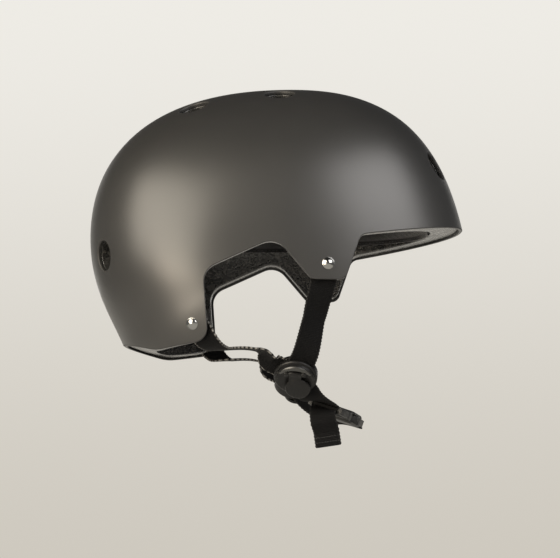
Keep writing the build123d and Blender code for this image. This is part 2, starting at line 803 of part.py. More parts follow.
# Tongue: base with sockets for the prongs, a guide, and the adjuster's bar
with BuildPart() as buckle_tongue:
    with BuildSketch(buckle.offset(-tongue_base_thickness / 2)):
        with Locations((-tongue_base_end, 0)):
            Rectangle(
                tongue_base_start - tongue_base_end, tongue_width,
                align=(Align.MAX, Align.CENTER),
            )
    extrude(amount=tongue_base_thickness)
    chamfer(buckle_tongue.edges().filter_by(buckle_cross), length=buckle_edge)
    with BuildSketch(buckle.offset(-cavity_half + guide_clearance)):
        with BuildLine():
            Polyline(
                (-tongue_base_end - arm_overlap, -tongue_guide_width / 2),
                (tongue_guide_length - tongue_guide_taper, -tongue_guide_width / 2),
                (tongue_guide_length, -tongue_guide_width / 2 + tongue_guide_taper),
                (tongue_guide_length, tongue_guide_width / 2 - tongue_guide_taper),
                (tongue_guide_length - tongue_guide_taper, tongue_guide_width / 2),
                (-tongue_base_end - arm_overlap, tongue_guide_width / 2),
                close=True,
            )
        make_face()
    extrude(amount=2 * (cavity_half - guide_clearance))
    with BuildSketch(buckle.offset(-tongue_base_thickness)):
        with Locations((-prong_hinge_back, prong_hinge_side), (-prong_hinge_back, -prong_hinge_side)):
            Circle(pocket_radius)
        for side in (-1, 1):
            with Locations((-prong_hinge_back, side * (prong_inner_side + prong_width / 2))):
                Rectangle(
                    prong_hinge_back + arm_overlap, prong_width + 3 * prong_clearance,
                    align=(Align.MIN, Align.CENTER),
                )
    extrude(amount=2 * tongue_base_thickness, mode=Mode.SUBTRACT)
    with BuildSketch(buckle.offset(-arm_thickness / 2)):
        for side in (-1, 1):
            with Locations((-tongue_base_start + arm_overlap, side * arm_middle)):
                Rectangle(
                    tongue_bar - tongue_base_start + arm_overlap + arm_thickness / 2, arm_width,
                    align=(Align.MAX, Align.CENTER),
                )
    extrude(amount=arm_thickness)
    with BuildSketch(buckle_side_view):
        with Locations((-tongue_bar, 0)):
            Circle(bar_radius)
    extrude(amount=arm_middle, both=True)
buckle_tongue.part.label = "buckle_tongue"
export_step(buckle_tongue.part, "parts/buckle_tongue.step")

# Prongs: knuckle, springy arm and ribbed grip
rib_pitch = (prong_grip_end - prong_grip_start) / (grip_rib_count + 1)
prong_outer_side = prong_inner_side + prong_width
with BuildPart() as prong_front:
    with BuildSketch(buckle.offset(-prong_thickness / 2)):
        with Locations((-prong_hinge_back, prong_hinge_side)):
            Circle(prong_knuckle_radius)
        with BuildLine():
            Polyline(
                (-prong_hinge_back, prong_inner_side),
                (prong_length, prong_inner_side),
                (prong_length, prong_outer_side - prong_width / 3),
                (prong_grip_end, prong_outer_side),
                (prong_grip_end, prong_grip_side - prong_width / 3),
                (prong_grip_end - prong_width / 3, prong_grip_side),
                (prong_grip_start + prong_width, prong_grip_side),
                (prong_grip_start, prong_outer_side),
                (-prong_hinge_back, prong_outer_side - prong_clearance),
                close=True,
            )
        make_face()
        for rib in range(grip_rib_count):
            with Locations((prong_grip_end - rib_pitch * (rib + 1), prong_grip_side)):
                Rectangle(rib_pitch / 2, 2 * grip_rib_depth, mode=Mode.SUBTRACT)
    extrude(amount=prong_thickness)
prong_front.part.label = "prong_front"
export_step(prong_front.part, "parts/prong_front.step")

with BuildPart() as prong_rear:
    mirror(prong_front.part, about=buckle_side_view)
prong_rear.part.label = "prong_rear"
export_step(prong_rear.part, "parts/prong_rear.step")

# Chin webbing on the right: from the divider to the underside of the adjuster's bar
chin_mouth, chin_mouth_across, chin_in = divider_mouth(chin_way - 180, layer_height)
chin_length = strap_reach - chin_inset
chin_right_stations = [
    (chin_mouth, chin_mouth_across),
    (buckle_place(-tongue_bar - wrap_radius, -wrap_radius), buckle.y_dir),
]
with BuildPart() as chin_strap_right:
    add(ribbon(chin_right_stations, [-chin_in, way_in], (chin_length, wrap_radius - butt_gap)))
chin_strap_right.part.label = "chin_strap_right"
export_step(chin_strap_right.part, "parts/chin_strap_right.step")

# Loose end: round the adjuster's bar, then down to its folded and sewn end
tail_across = Vector(*tail_turn)
tail_down = Vector(*tail_way)
tail_stations = [
    (buckle_place(-tongue_bar - wrap_radius, wrap_radius), buckle.y_dir),
    (Vector(tail_middle_forward, -tail_middle_side, -tail_middle_drop), tail_across),
    (Vector(tail_forward, -tail_side, -tail_drop), tail_across),
]
tail_runs = (wrap_radius, tail_fold_length)
with BuildPart() as strap_tail:
    add(ribbon(tail_stations, [-way_in, tail_down], tail_runs, wrap_sections(-tongue_bar, 1)))
    with BuildSketch(Plane(origin=tail_stations[-1][0], x_dir=tail_across, z_dir=tail_down)):
        RectangleRounded(
            webbing_width + tail_fold_overlap, tail_fold_thickness, tail_fold_thickness / 3
        )
    extrude(amount=tail_fold_length)
strap_tail.part.label = "strap_tail"
export_step(strap_tail.part, "parts/strap_tail.step")

# Chin webbing on the left: doubled end, round the housing's bar, then up to the left divider
left_mouth = Vector(chin_mouth.X, -chin_mouth.Y, chin_mouth.Z)
left_across = Vector(-chin_mouth_across.X, chin_mouth_across.Y, -chin_mouth_across.Z)
left_in = Vector(chin_in.X, -chin_in.Y, chin_in.Z)
outer_stations = [
    (buckle_place(housing_bar + doubled_length, wrap_radius), buckle.y_dir),
    (left_mouth, -left_across),
]
doubled_sections = []
for step in range(run_sections):
    reach = doubled_length * (run_sections - step) / run_sections
    place = buckle_place(housing_bar + reach, -wrap_radius)
    doubled_sections.append(Plane(origin=place, x_dir=buckle.y_dir, z_dir=-way_in))
left_lead = doubled_sections + wrap_sections(housing_bar, -1)
left_runs = (doubled_length, chin_length)
with BuildPart() as chin_strap_left:
    add(ribbon(outer_stations, [way_in, left_in], left_runs, left_lead))
chin_strap_left.part.label = "chin_strap_left"
export_step(chin_strap_left.part, "parts/chin_strap_left.step")
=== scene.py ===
import math

import bmesh
import bpy
import numpy as np
from mathutils import Matrix, Vector


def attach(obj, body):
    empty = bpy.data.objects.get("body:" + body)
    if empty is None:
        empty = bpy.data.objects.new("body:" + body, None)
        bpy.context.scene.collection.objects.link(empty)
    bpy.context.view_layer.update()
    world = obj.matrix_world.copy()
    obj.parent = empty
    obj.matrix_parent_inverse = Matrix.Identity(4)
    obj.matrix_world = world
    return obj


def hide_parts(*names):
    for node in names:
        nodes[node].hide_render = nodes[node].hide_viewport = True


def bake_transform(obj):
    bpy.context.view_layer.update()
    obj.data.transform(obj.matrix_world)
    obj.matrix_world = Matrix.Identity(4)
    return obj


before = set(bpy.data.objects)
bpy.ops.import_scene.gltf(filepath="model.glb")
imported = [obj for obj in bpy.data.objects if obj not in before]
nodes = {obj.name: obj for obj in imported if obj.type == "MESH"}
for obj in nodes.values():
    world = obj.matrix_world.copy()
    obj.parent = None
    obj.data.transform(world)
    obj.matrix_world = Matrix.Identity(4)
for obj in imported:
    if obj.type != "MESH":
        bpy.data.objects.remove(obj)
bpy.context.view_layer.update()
mm = 0.001

# The helmet's form, in metres: reaches are measured from a cross axis near its middle
helmetForm = {
    "halfWidth": 0.110, "brimReach": 0.165, "napeReach": 0.117,
    "crownRise": 0.1476, "underDrop": 0.112, "axisBack": 0.025, "axisDrop": 0.040,
    "fullness": 2.3, "sections": 10, "lastTurn": 87.0, "sectionReach": 0.13,
    "profileSamples": 1440, "widthSamples": 800, "farOut": 0.3, "holeReach": 0.06,
    "profile": [
        (-1.0, 0.2275), (-0.919, 0.551), (-0.679, 0.79), (-0.291, 0.942), (0.179, 1.0),
        (0.509, 0.9605), (0.736, 0.828), (0.9005, 0.5905), (1.0, 0.267), (1.036, 0.0),
        (0.97, -0.49), (0.64, -0.89), (0.15, -1.0), (-0.43, -0.86), (-0.709, -0.58),
        (-0.791, -0.4), (-0.914, -0.129), (-0.979, 0.066),
    ],
}

# The rim seen from the side: (forward, up, corner radius), from the nape to the brim
rimOutline = {
    "corners": [
        (-0.172, -0.0737, 0), (-0.088, -0.094, 0.028), (-0.0495, -0.088, 0.010),
        (-0.053, -0.0385, 0.013), (-0.0017, -0.0154, 0.014), (0.0235, -0.0452, 0.007),
        (0.048, -0.0452, 0.007), (0.0595, -0.0122, 0.007), (0.195, 0.0083, 0),
    ],
    "arcSteps": 24, "top": 0.3, "onRim": 3e-4,
}


# Curves and forms

def cubicAt(s, knots, spans, values, bend):
    # Places at s on the smooth curve that has these values and bends at its knots
    i = np.clip(np.searchsorted(knots, s, "right") - 1, 0, len(spans) - 1)
    j = (i + 1) % len(values)
    a, b, h = (knots[i + 1] - s)[:, None], (s - knots[i])[:, None], spans[i][:, None]
    return (
        bend[i] * a ** 3 / (6 * h) + bend[j] * b ** 3 / (6 * h)
        + (values[i] / h - bend[i] * h / 6) * a + (values[j] / h - bend[j] * h / 6) * b
    )


def loopThrough(points, count):
    # Closed smooth curve through points, sampled evenly over its chords
    p = np.array(points, float)
    n = len(p)
    after = np.roll(p, -1, 0)
    h = np.linalg.norm(after - p, axis=1)
    before = np.roll(h, 1)
    system = np.diag(2 * (h + before))
    for i in range(n):
        system[i, i - 1] += before[i]
        system[i, (i + 1) % n] += h[i]
    slope = (after - p) / h[:, None]
    bend = np.linalg.solve(system, 6 * (slope - np.roll(slope, 1, 0)))
    knots = np.concatenate([[0], np.cumsum(h)])
    return cubicAt(np.linspace(0, knots[-1], count, endpoint=False), knots, h, p, bend)


def curveThrough(knots, values, at, endSlopes=None):
    # Open smooth curve through values at knots, with free ends or given end slopes
    k = np.array(knots, float)
    v = np.array(values, float).reshape(len(k), -1)
    h = np.diff(k)
    slope = np.diff(v, axis=0) / h[:, None]
    n = len(k)
    system = np.eye(n)
    right = np.zeros_like(v)
    for i in range(1, n - 1):
        system[i, i - 1:i + 2] = h[i - 1], 2 * (h[i - 1] + h[i]), h[i]
        right[i] = 6 * (slope[i] - slope[i - 1])
    if endSlopes is not None:
        system[0, :2] = 2 * h[0], h[0]
        right[0] = 6 * (slope[0] - np.array(endSlopes[0]))
        system[-1, -2:] = h[-1], 2 * h[-1]
        right[-1] = 6 * (np.array(endSlopes[1]) - slope[-1])
    return cubicAt(np.atleast_1d(at), k, h, v, np.linalg.solve(system, right))


def unit(v):
    return v / np.maximum(np.linalg.norm(v, axis=-1, keepdims=True), 1e-12)


def dot(a, b):
    return np.sum(a * b, axis=-1, keepdims=True)


def reachOf(points):
    # Distance along a polyline to each of its points
    return np.concatenate([[0], np.cumsum(np.linalg.norm(np.diff(points, axis=0), axis=1))])


def sampled(values, reach, at):
    # What the columns of values hold at other distances along
    return np.stack([np.interp(at, reach, column) for column in values.T], 1)


def formAt(inset):
    # The helmet's form drawn in by inset, as tables that answer for any place
    f = helmetForm
    points = []
    for reachShare, riseShare in f["profile"]:
        reach = f["brimReach"] if reachShare > 0 else f["napeReach"]
        rise = f["crownRise"] if riseShare > 0 else f["underDrop"]
        points.append((reachShare * (reach - inset), riseShare * (rise - inset)))
    profile = loopThrough(points, f["profileSamples"])
    turn = np.radians(np.linspace(-f["lastTurn"], f["lastTurn"], 2 * f["sections"] + 1))
    power = 2 / f["fullness"]
    width = np.sign(turn) * np.abs(np.sin(turn)) ** power * (f["halfWidth"] - inset)
    size = np.cos(turn) ** power
    step = np.hypot(np.diff(width), np.diff(size) * f["sectionReach"])
    knots = np.concatenate([[0], np.cumsum(step)])
    at = np.linspace(0, knots[-1], f["widthSamples"])
    across = curveThrough(knots, np.stack([width, size], 1), at)
    angle = np.arctan2(profile[:, 1], profile[:, 0])
    order = np.argsort(angle)
    half = across[across[:, 0] >= 0]
    return {
        "profile": profile, "across": across, "angle": angle[order],
        "radius": np.linalg.norm(profile, axis=1)[order],
        "widths": half[:, 0], "sizes": half[:, 1],
    }


def formPoints(form, us, ts):
    # Grid on the form: us across it and ts round its profile, both from 0 to 1
    f = helmetForm
    across = form["across"]
    row = np.linspace(0, 1, len(across))
    y = np.interp(us, row, across[:, 0])
    size = np.interp(us, row, across[:, 1])
    loop = np.vstack([form["profile"], form["profile"][:1]])
    around = np.linspace(0, 1, len(loop))
    px = np.interp(ts, around, loop[:, 0])
    pz = np.interp(ts, around, loop[:, 1])
    x = size[:, None] * px[None] - f["axisBack"]
    z = size[:, None] * pz[None] - f["axisDrop"]
    return np.stack([x, np.repeat(y[:, None], len(ts), 1), z], -1)


def formGap(form, p):
    # Below zero inside the form, above zero outside
    f = helmetForm
    x = p[..., 0] + f["axisBack"]
    z = p[..., 2] + f["axisDrop"]
    radius = np.interp(np.arctan2(z, x), form["angle"], form["radius"], period=2 * math.pi)
    size = np.interp(np.abs(p[..., 1]), form["widths"], form["sizes"], right=0)
    return np.hypot(x, z) / radius - size


def formSlope(form, p, step=2e-4):
    slope = np.zeros_like(p)
    for axis in range(3):
        move = np.zeros(3)
        move[axis] = step
        slope[..., axis] = (formGap(form, p + move) - formGap(form, p - move)) / (2 * step)
    return slope


def formNormal(form, p):
    return unit(formSlope(form, p))


def ontoForm(form, p, rounds=3):
    for _ in range(rounds):
        slope = formSlope(form, p)
        p = p - slope * (formGap(form, p)[..., None] / np.maximum(dot(slope, slope), 1e-9))
    return p


def leaveForm(form, starts, ways, rounds=40):
    # Where lines from inside the form leave it
    low = np.zeros(len(starts))
    high = np.full(len(starts), helmetForm["farOut"])
    for _ in range(rounds):
        middle = (low + high) / 2
        inside = formGap(form, starts + ways * middle[:, None]) < 0
        low, high = np.where(inside, middle, low), np.where(inside, high, middle)
    return starts + ways * low[:, None]


def seatOn(form, start, way):
    # The same for one line, with the normal there
    place = leaveForm(form, np.array([start], float), unit(np.array([way], float)), 50)
    return place[0], formNormal(form, place)[0]


def roundedOutline(corners, arcSteps):
    # Polyline with each inner corner turned on its radius
    c = [np.array(x[:2], float) for x in corners]
    line = [c[0]]
    for i in range(1, len(c) - 1):
        back, on = unit(c[i - 1] - c[i]), unit(c[i + 1] - c[i])
        half = math.acos(np.clip(float(back @ on), -1, 1)) / 2
        radius = corners[i][2]
        start = c[i] + back * radius / math.tan(half)
        middle = c[i] + unit(back + on) * radius / math.sin(half)
        first = start - middle
        side = c[i] + on * radius / math.tan(half) - middle
        sweep = math.pi - 2 * half
        for k in range(arcSteps + 1):
            share = k / arcSteps
            mix = (first * math.sin((1 - share) * sweep) + side * math.sin(share * sweep))
            line.append(middle + mix / math.sin(sweep))
    line.append(c[-1])
    return np.array(line)


rimLine = roundedOutline(rimOutline["corners"], rimOutline["arcSteps"])


def rimDistance(p):
    # Distance above the rim in the side view, and the way up from it
    q = p[..., [0, 2]].reshape(-1, 2)
    a, b = rimLine[:-1], rimLine[1:]
    ab = b - a
    best = np.full(len(q), np.inf)
    foot = np.zeros_like(q)
    which = np.zeros(len(q), int)
    for i in range(len(a)):
        share = np.clip(((q - a[i]) @ ab[i]) / (ab[i] @ ab[i]), 0, 1)
        near = a[i] + share[:, None] * ab[i]
        d = np.hypot(*(q - near).T)
        closer = d < best
        best[closer], foot[closer], which[closer] = d[closer], near[closer], i
    x, z = q[:, 0], q[:, 1]
    closed = np.vstack([rimLine, [[rimLine[-1, 0], rimOutline["top"]],
                                  [rimLine[0, 0], rimOutline["top"]]]])
    inside = np.zeros(len(q), bool)
    for s, e in zip(closed, np.roll(closed, -1, 0)):
        if s[1] == e[1]:
            continue
        spans = (s[1] > z) != (e[1] > z)
        inside ^= spans & (x < (e[0] - s[0]) * (z - s[1]) / (e[1] - s[1]) + s[0])
    sign = np.where(inside, 1.0, -1.0)
    side = unit(np.stack([-ab[which, 1], ab[which, 0]], 1))
    away = sign[:, None] * (q - foot) / best[:, None].clip(1e-9)
    way = np.where((best < rimOutline["onRim"])[:, None], side, away)
    distance = (sign * best).reshape(p.shape[:-1])
    way3 = np.stack([way[:, 0], np.zeros(len(q)), way[:, 1]], 1).reshape(p.shape)
    return distance, way3


def holeDistance(origin, axis, radius):
    # The same for a round hole: distance out from its wall, and the way out from its axis
    def measure(p):
        r = p - origin
        along = dot(r, axis)
        side = r - along * axis
        distance = np.linalg.norm(side, axis=-1) - radius
        return np.where(along[..., 0] < -helmetForm["holeReach"], 1.0, distance), unit(side)
    return measure


# Meshes

def meshFrom(name, points, edges=(), faces=()):
    mesh = bpy.data.meshes.new(name)
    mesh.from_pydata([tuple(p) for p in points], edges, faces)
    return mesh


def mend(mesh, merge=None):
    # Doubles merged where asked, faces turned outwards and shaded smooth
    work = bmesh.new()
    work.from_mesh(mesh)
    if merge:
        bmesh.ops.remove_doubles(work, verts=work.verts, dist=merge)
    bmesh.ops.recalc_face_normals(work, faces=work.faces)
    work.to_mesh(mesh)
    work.free()
    mesh.shade_smooth()


def addThing(name, data, material=None):
    thing = bpy.data.objects.new(name, data)
    bpy.context.scene.collection.objects.link(thing)
    if material:
        data.materials.append(material)
    return thing


def bakeModifiers(thing):
    # Keeps the mesh that the modifiers give and removes them
    graph = bpy.context.evaluated_depsgraph_get()
    graph.update()
    baked = bpy.data.meshes.new_from_object(thing.evaluated_get(graph), depsgraph=graph)
    baked.name = thing.name
    thing.modifiers.clear()
    thing.data = baked


class Surface:
    # Points, normals and faces that build up into one mesh

    def __init__(self):
        self.points, self.normals, self.faces, self.edges = [], [], [], []

    def row(self, points, normals, edge=0.0):
        start = len(self.points)
        self.points.extend(points)
        self.normals.extend(normals)
        self.edges.extend([edge] * len(points))
        return list(range(start, len(self.points)))

    def band(self, a, b):
        # Faces between two closed rows of the same length
        for i in range(len(a)):
            j = (i + 1) % len(a)
            self.faces.append((a[i], a[j], b[j], b[i]))

    def zip(self, a, b):
        # Triangles between two closed rows of different lengths
        pa, pb = np.array([self.points[i] for i in a]), np.array([self.points[i] for i in b])
        gap = np.linalg.norm(pb - pa[0], axis=1)
        start = int(np.argmin(gap))
        b = b[start:] + b[:start]
        pb = np.roll(pb, -start, 0)
        if (pa[1] - pa[0]) @ (pb[1] - pb[-1]) < 0:
            b = b[:1] + b[1:][::-1]
            pb = np.vstack([pb[:1], pb[1:][::-1]])
        n, m = len(a), len(b)
        i = j = 0
        while i < n or j < m:
            goA = np.linalg.norm(pa[(i + 1) % n] - pb[j % m]) if i < n else np.inf
            goB = np.linalg.norm(pa[i % n] - pb[(j + 1) % m]) if j < m else np.inf
            if goA <= goB:
                self.faces.append((a[i % n], a[(i + 1) % n], b[j % m]))
                i += 1
            else:
                self.faces.append((a[i % n], b[(j + 1) % m], b[j % m]))
                j += 1

    def build(self, name, material):
        mesh = meshFrom(name, self.points, faces=self.faces)
        mesh.validate()
        mend(mesh)
        edge = mesh.attributes.new("edge", "FLOAT", "POINT")
        edge.data.foreach_set("value", np.array(self.edges, np.float32))
        normals = np.array(self.normals, float)
        facing = np.zeros(len(mesh.vertices) * 3)
        mesh.vertices.foreach_get("normal", facing)
        agree = np.sum(facing.reshape(-1, 3) * normals, 1)
        if np.median(agree) < 0:
            mesh.flip_normals()
        mesh.normals_split_custom_set_from_vertices(unit(normals))
        return addThing(name, mesh, material)


# How a form is cut: the share left out at its poles, how near the cut a grid point is moved onto
# it, the least slope that a move is divided by, and the fewest points along an edge
cutting = {
    "poleShare": 0.02, "snap": 0.7 * mm, "leastSlope": 0.05, "rounds": 4, "fewest": 12,
}


def snapToCuts(form, cuts, grid):
    # How far each grid point is kept clear of the cuts, once those close to one are moved onto it
    kept = np.full(len(grid), np.inf)
    ways = np.zeros_like(grid)
    for cut in cuts:
        d, way = cut["measure"](grid)
        d = d - cut["setback"]
        closer = d < kept
        kept[closer], ways[closer] = d[closer], way[closer]
    near = np.abs(kept) < cutting["snap"]
    n = formNormal(form, grid[near])
    g = ways[near] - dot(ways[near], n) * n
    move = g * (kept[near][:, None] / np.maximum(dot(g, g), cutting["leastSlope"]))
    grid[near] = ontoForm(form, grid[near] - move)
    kept[near] = 0
    return kept


def keptFaces(grid, kept, rows, columns):
    # The grid's faces where kept is above zero, cut along its zero line
    points, numbers, faces = [], {}, []

    def pointAt(key, place):
        if key not in numbers:
            numbers[key] = len(points)
            points.append(place)
        return numbers[key]

    for r in range(rows - 1):
        for c in range(columns):
            low, high, on = r * columns, (r + 1) * columns, (c + 1) % columns
            quad = (low + c, low + on, high + on, high + c)
            if kept[list(quad)].max() <= 0:
                continue
            face = []
            for i, j in zip(quad, quad[1:] + quad[:1]):
                if kept[i] >= 0:
                    face.append(pointAt(i, grid[i]))
                if kept[i] * kept[j] < 0:
                    share = kept[i] / (kept[i] - kept[j])
                    face.append(pointAt((min(i, j), max(i, j)),
                                        grid[i] + (grid[j] - grid[i]) * share))
            if len(face) > 2:
                faces.append(tuple(face))
    return np.array(points), faces


def edgeLoops(faces):
    # Loops of points along the sides that only one face has
    sides = dict.fromkeys(side for face in faces for side in zip(face, face[1:] + face[:1]))
    nextOne = {i: j for i, j in sides if (j, i) not in sides}
    loops = []
    while nextOne:
        start, on = next(iter(nextOne.items()))
        loop = [start]
        while on != start and on in nextOne:
            loop.append(on)
            on = nextOne.pop(on)
        nextOne.pop(start, None)
        loops.append(loop)
    return loops


def clipForm(surface, form, cuts, rows, columns, facing):
    # Adds the form where every cut is at least its setback away, and gives its edge loops
    us = np.linspace(cutting["poleShare"], 1 - cutting["poleShare"], rows)
    ts = np.linspace(0, 1, columns, endpoint=False)
    grid = formPoints(form, us, ts).reshape(-1, 3)
    kept = snapToCuts(form, cuts, grid)
    points, faces = keptFaces(grid, kept, rows, columns)
    base = len(surface.points)
    faces = [tuple(i + base for i in face) for face in faces]
    surface.row(list(points), list(facing * formNormal(form, points)))
    surface.faces.extend(faces)
    return edgeLoops(faces)


def evenly(points, spacing):
    # Closed loop sampled at even steps
    p = np.vstack([points, points[:1]])
    reach = reachOf(p)
    count = max(cutting["fewest"], int(reach[-1] / spacing))
    return sampled(p, reach, np.linspace(0, reach[-1], count, endpoint=False))


def edgeOf(surface, loop, form, cut, facing):
    # Rows that turn the form's edge into the wall of the cut, from the clipped loop
    p = evenly(np.array([surface.points[i] for i in loop]), cut["spacing"])

    def settle(p, aim):
        for _ in range(cutting["rounds"]):
            d, way = cut["measure"](p)
            n = formNormal(form, p)
            g = way - dot(way, n) * n
            p = p + g * ((aim - d)[:, None] / np.maximum(dot(g, g), cutting["leastSlope"]))
            p = ontoForm(form, p, 1)
        return p

    p = settle(p, cut["setback"])
    inner = surface.row(list(p), list(facing * formNormal(form, p)))
    surface.zip(inner, loop)
    # From the form's face, round the sharp edge between them, to the wall of the cut
    edge = settle(p, 0.0)
    way = cut["measure"](edge)[1]
    n = formNormal(form, edge)
    g = unit(way - dot(way, n) * n)
    away = facing * n
    wall = unit(-away + dot(away, way) * way)
    first = edge + g * cut["round"]
    last = edge + wall * cut["round"]
    rows = [inner]
    for t in np.arange(cut["steps"] + 1) / cut["steps"]:
        place = (1 - t) ** 2 * first + 2 * t * (1 - t) * edge + t ** 2 * last
        facingWay = unit((1 - t) * away - t * way)
        # Painted shade: the rounding's middle rows are marked edge, and the material paints them
        # darker
        edgeShade = 4 * t * (1 - t)
        rows.append(surface.row(list(place), list(facingWay), edgeShade))
    for a, b in zip(rows, rows[1:]):
        surface.band(a, b)
    return rows[-1]


def owningCut(surface, loop, cuts):
    # The cut that the loop runs along
    first = np.array([surface.points[loop[0]]])
    return int(np.argmin([abs(cut["measure"](first)[0][0] - cut["setback"]) for cut in cuts]))


def wallBetween(outer, inner, rows, columns, outerCuts, innerCuts):
    # Closed shell between two forms, open at its cuts
    surface = Surface()
    edges = {}
    for form, facing, cuts in ((outer, 1, outerCuts), (inner, -1, innerCuts)):
        for loop in clipForm(surface, form, cuts, rows, columns, facing):
            k = owningCut(surface, loop, cuts)
            edges.setdefault(k, []).append(edgeOf(surface, loop, form, cuts[k], facing))
    for pair in edges.values():
        surface.zip(pair[0], pair[1])
    return surface


def cutOf(measure, setback, turnRadius, spacing, steps):
    return {"measure": measure, "setback": setback, "round": turnRadius, "spacing": spacing,
            "steps": steps}


# Materials

def nodeMaterial(name):
    material = bpy.data.materials.new(name)
    material.use_nodes = True
    tree = material.node_tree
    tree.nodes.clear()
    out = tree.nodes.new("ShaderNodeOutputMaterial")
    shader = tree.nodes.new("ShaderNodeBsdfPrincipled")
    tree.links.new(shader.outputs["BSDF"], out.inputs["Surface"])
    return material, tree, shader


def wire(tree, kind, inputs=None, **settings):
    # One node, with its settings and what goes into it
    node = tree.nodes.new(kind)
    for key, value in settings.items():
        setattr(node, key, value)
    for key, value in (inputs or {}).items():
        if isinstance(value, bpy.types.NodeSocket):
            tree.links.new(value, node.inputs[key])
        else:
            node.inputs[key].default_value = value
    return node


def surfaceGroup(name, inputs):
    # Shared group for a surface: its named inputs, and the colour, roughness and normal it gives
    tree = bpy.data.node_groups.new(name, "ShaderNodeTree")
    for label, value in inputs.items():
        kind = "Vector" if value is None else "Color" if isinstance(value, tuple) else "Float"
        socket = tree.interface.new_socket(name=label, in_out="INPUT",
                                           socket_type="NodeSocket" + kind)
        if value is not None:
            socket.default_value = value
    for label, kind in (("Colour", "Color"), ("Roughness", "Float"), ("Normal", "Vector")):
        tree.interface.new_socket(name=label, in_out="OUTPUT", socket_type="NodeSocket" + kind)
    return tree, tree.nodes.new("NodeGroupInput").outputs


def endGroup(tree, colour, roughness, normal):
    wire(tree, "NodeGroupOutput", {"Colour": colour, "Roughness": roughness, "Normal": normal})
    return tree


def placeOf(tree):
    return wire(tree, "ShaderNodeTexCoord").outputs["Object"]


def sums(tree, operation, *values):
    return wire(tree, "ShaderNodeMath", dict(enumerate(values)),
                operation=operation).outputs["Value"]


def noiseAt(tree, place, scale, detail, roughness=0.5):
    return wire(tree, "ShaderNodeTexNoise", {"Vector": place, "Scale": scale, "Detail": detail,
                                             "Roughness": roughness}).outputs["Fac"]


def rangeOf(tree, value, fromMin, fromMax, toMin=0.0, toMax=1.0, **settings):
    return wire(tree, "ShaderNodeMapRange", {
        "Value": value, "From Min": fromMin, "From Max": fromMax, "To Min": toMin,
        "To Max": toMax}, **settings).outputs["Result"]


def mixed(tree, factor, a, b):
    return wire(tree, "ShaderNodeMix", {"Factor": factor, "A": a, "B": b},
                data_type="RGBA").outputs["Result"]


def bumpOf(tree, height, strength, distance):
    return wire(tree, "ShaderNodeBump", {"Height": height, "Strength": strength,
                                         "Distance": distance}).outputs["Normal"]


def markOf(tree, name):
    return wire(tree, "ShaderNodeAttribute", attribute_name=name).outputs["Fac"]


def feed(tree, shader, colour, roughness, normal):
    for label, socket in (("Base Color", colour), ("Roughness", roughness), ("Normal", normal)):
        tree.links.new(socket, shader.inputs[label])


def makeGrainGroup():
    # Moulded plastic: fine grain, slow waviness, and a tone that wanders a little
    tree, i = surfaceGroup("mouldedGrain", {
        "Place": None, "Grain": 2200.0, "Waves": 60.0, "Depth": 0.1,
        "Dark": (0.02, 0.02, 0.02, 1), "Light": (0.03, 0.03, 0.03, 1), "Smooth": 0.4,
        "Rough": 0.5})
    grain = noiseAt(tree, i["Place"], i["Grain"], 3.0, 0.6)
    waves = noiseAt(tree, i["Place"], i["Waves"], 2.0)
    return endGroup(tree, mixed(tree, waves, i["Dark"], i["Light"]),
                    rangeOf(tree, grain, 0.3, 0.7, i["Smooth"], i["Rough"]),
                    bumpOf(tree, sums(tree, "ADD", grain, waves), i["Depth"], 0.3 * mm))


def mouldedMaterial(name, look):
    material, tree, shader = nodeMaterial(name)
    surface = wire(tree, "ShaderNodeGroup", {
        "Place": placeOf(tree), "Grain": look["grain"], "Waves": look["waves"],
        "Depth": look["depth"], "Dark": (*look["dark"], 1), "Light": (*look["light"], 1),
        "Smooth": look["smooth"], "Rough": look["rough"]}, node_tree=grainGroup).outputs
    colour, roughness = surface["Colour"], surface["Roughness"]
    if "edge" in look:
        # What the mesh marks as edge is made duller and painted darker, as painted shade
        shadedEdge = sums(tree, "MULTIPLY", markOf(tree, "edge"), look["edgeShare"])
        colour = mixed(tree, shadedEdge, colour, (*look["edge"], 1))
        roughness = wire(tree, "ShaderNodeMix", {0: shadedEdge, 2: roughness,
                                                 3: look["edgeRough"]}).outputs[0]
    feed(tree, shader, colour, roughness, surface["Normal"])
    shader.inputs["Specular IOR Level"].default_value = look["specular"]
    return material


def makeBeadGroup():
    # Expanded foam: packed beads, each a little different, pressed flat at the skin
    tree, i = surfaceGroup("foamBeads", {
        "Place": None, "Beads": 330.0, "Depth": 0.15, "Dark": (0.018, 0.018, 0.018, 1),
        "Light": (0.07, 0.069, 0.066, 1)})
    beads = {"Vector": i["Place"], "Scale": i["Beads"]}
    cell = wire(tree, "ShaderNodeTexVoronoi", beads)
    seam = wire(tree, "ShaderNodeTexVoronoi", beads, feature="DISTANCE_TO_EDGE")
    groove = rangeOf(tree, seam.outputs["Distance"], 0.0, 0.14)
    pores = noiseAt(tree, i["Place"], 3600.0, 2.0)
    height = sums(tree, "MULTIPLY_ADD", pores, 0.12, groove)
    own = wire(tree, "ShaderNodeSeparateColor", {"Color": cell.outputs["Color"]}).outputs
    shade = sums(tree, "MULTIPLY", own["Red"], groove)
    return endGroup(tree, mixed(tree, shade, i["Dark"], i["Light"]),
                    rangeOf(tree, own["Green"], 0.0, 1.0, 0.16, 0.32),
                    bumpOf(tree, height, i["Depth"], 0.4 * mm))


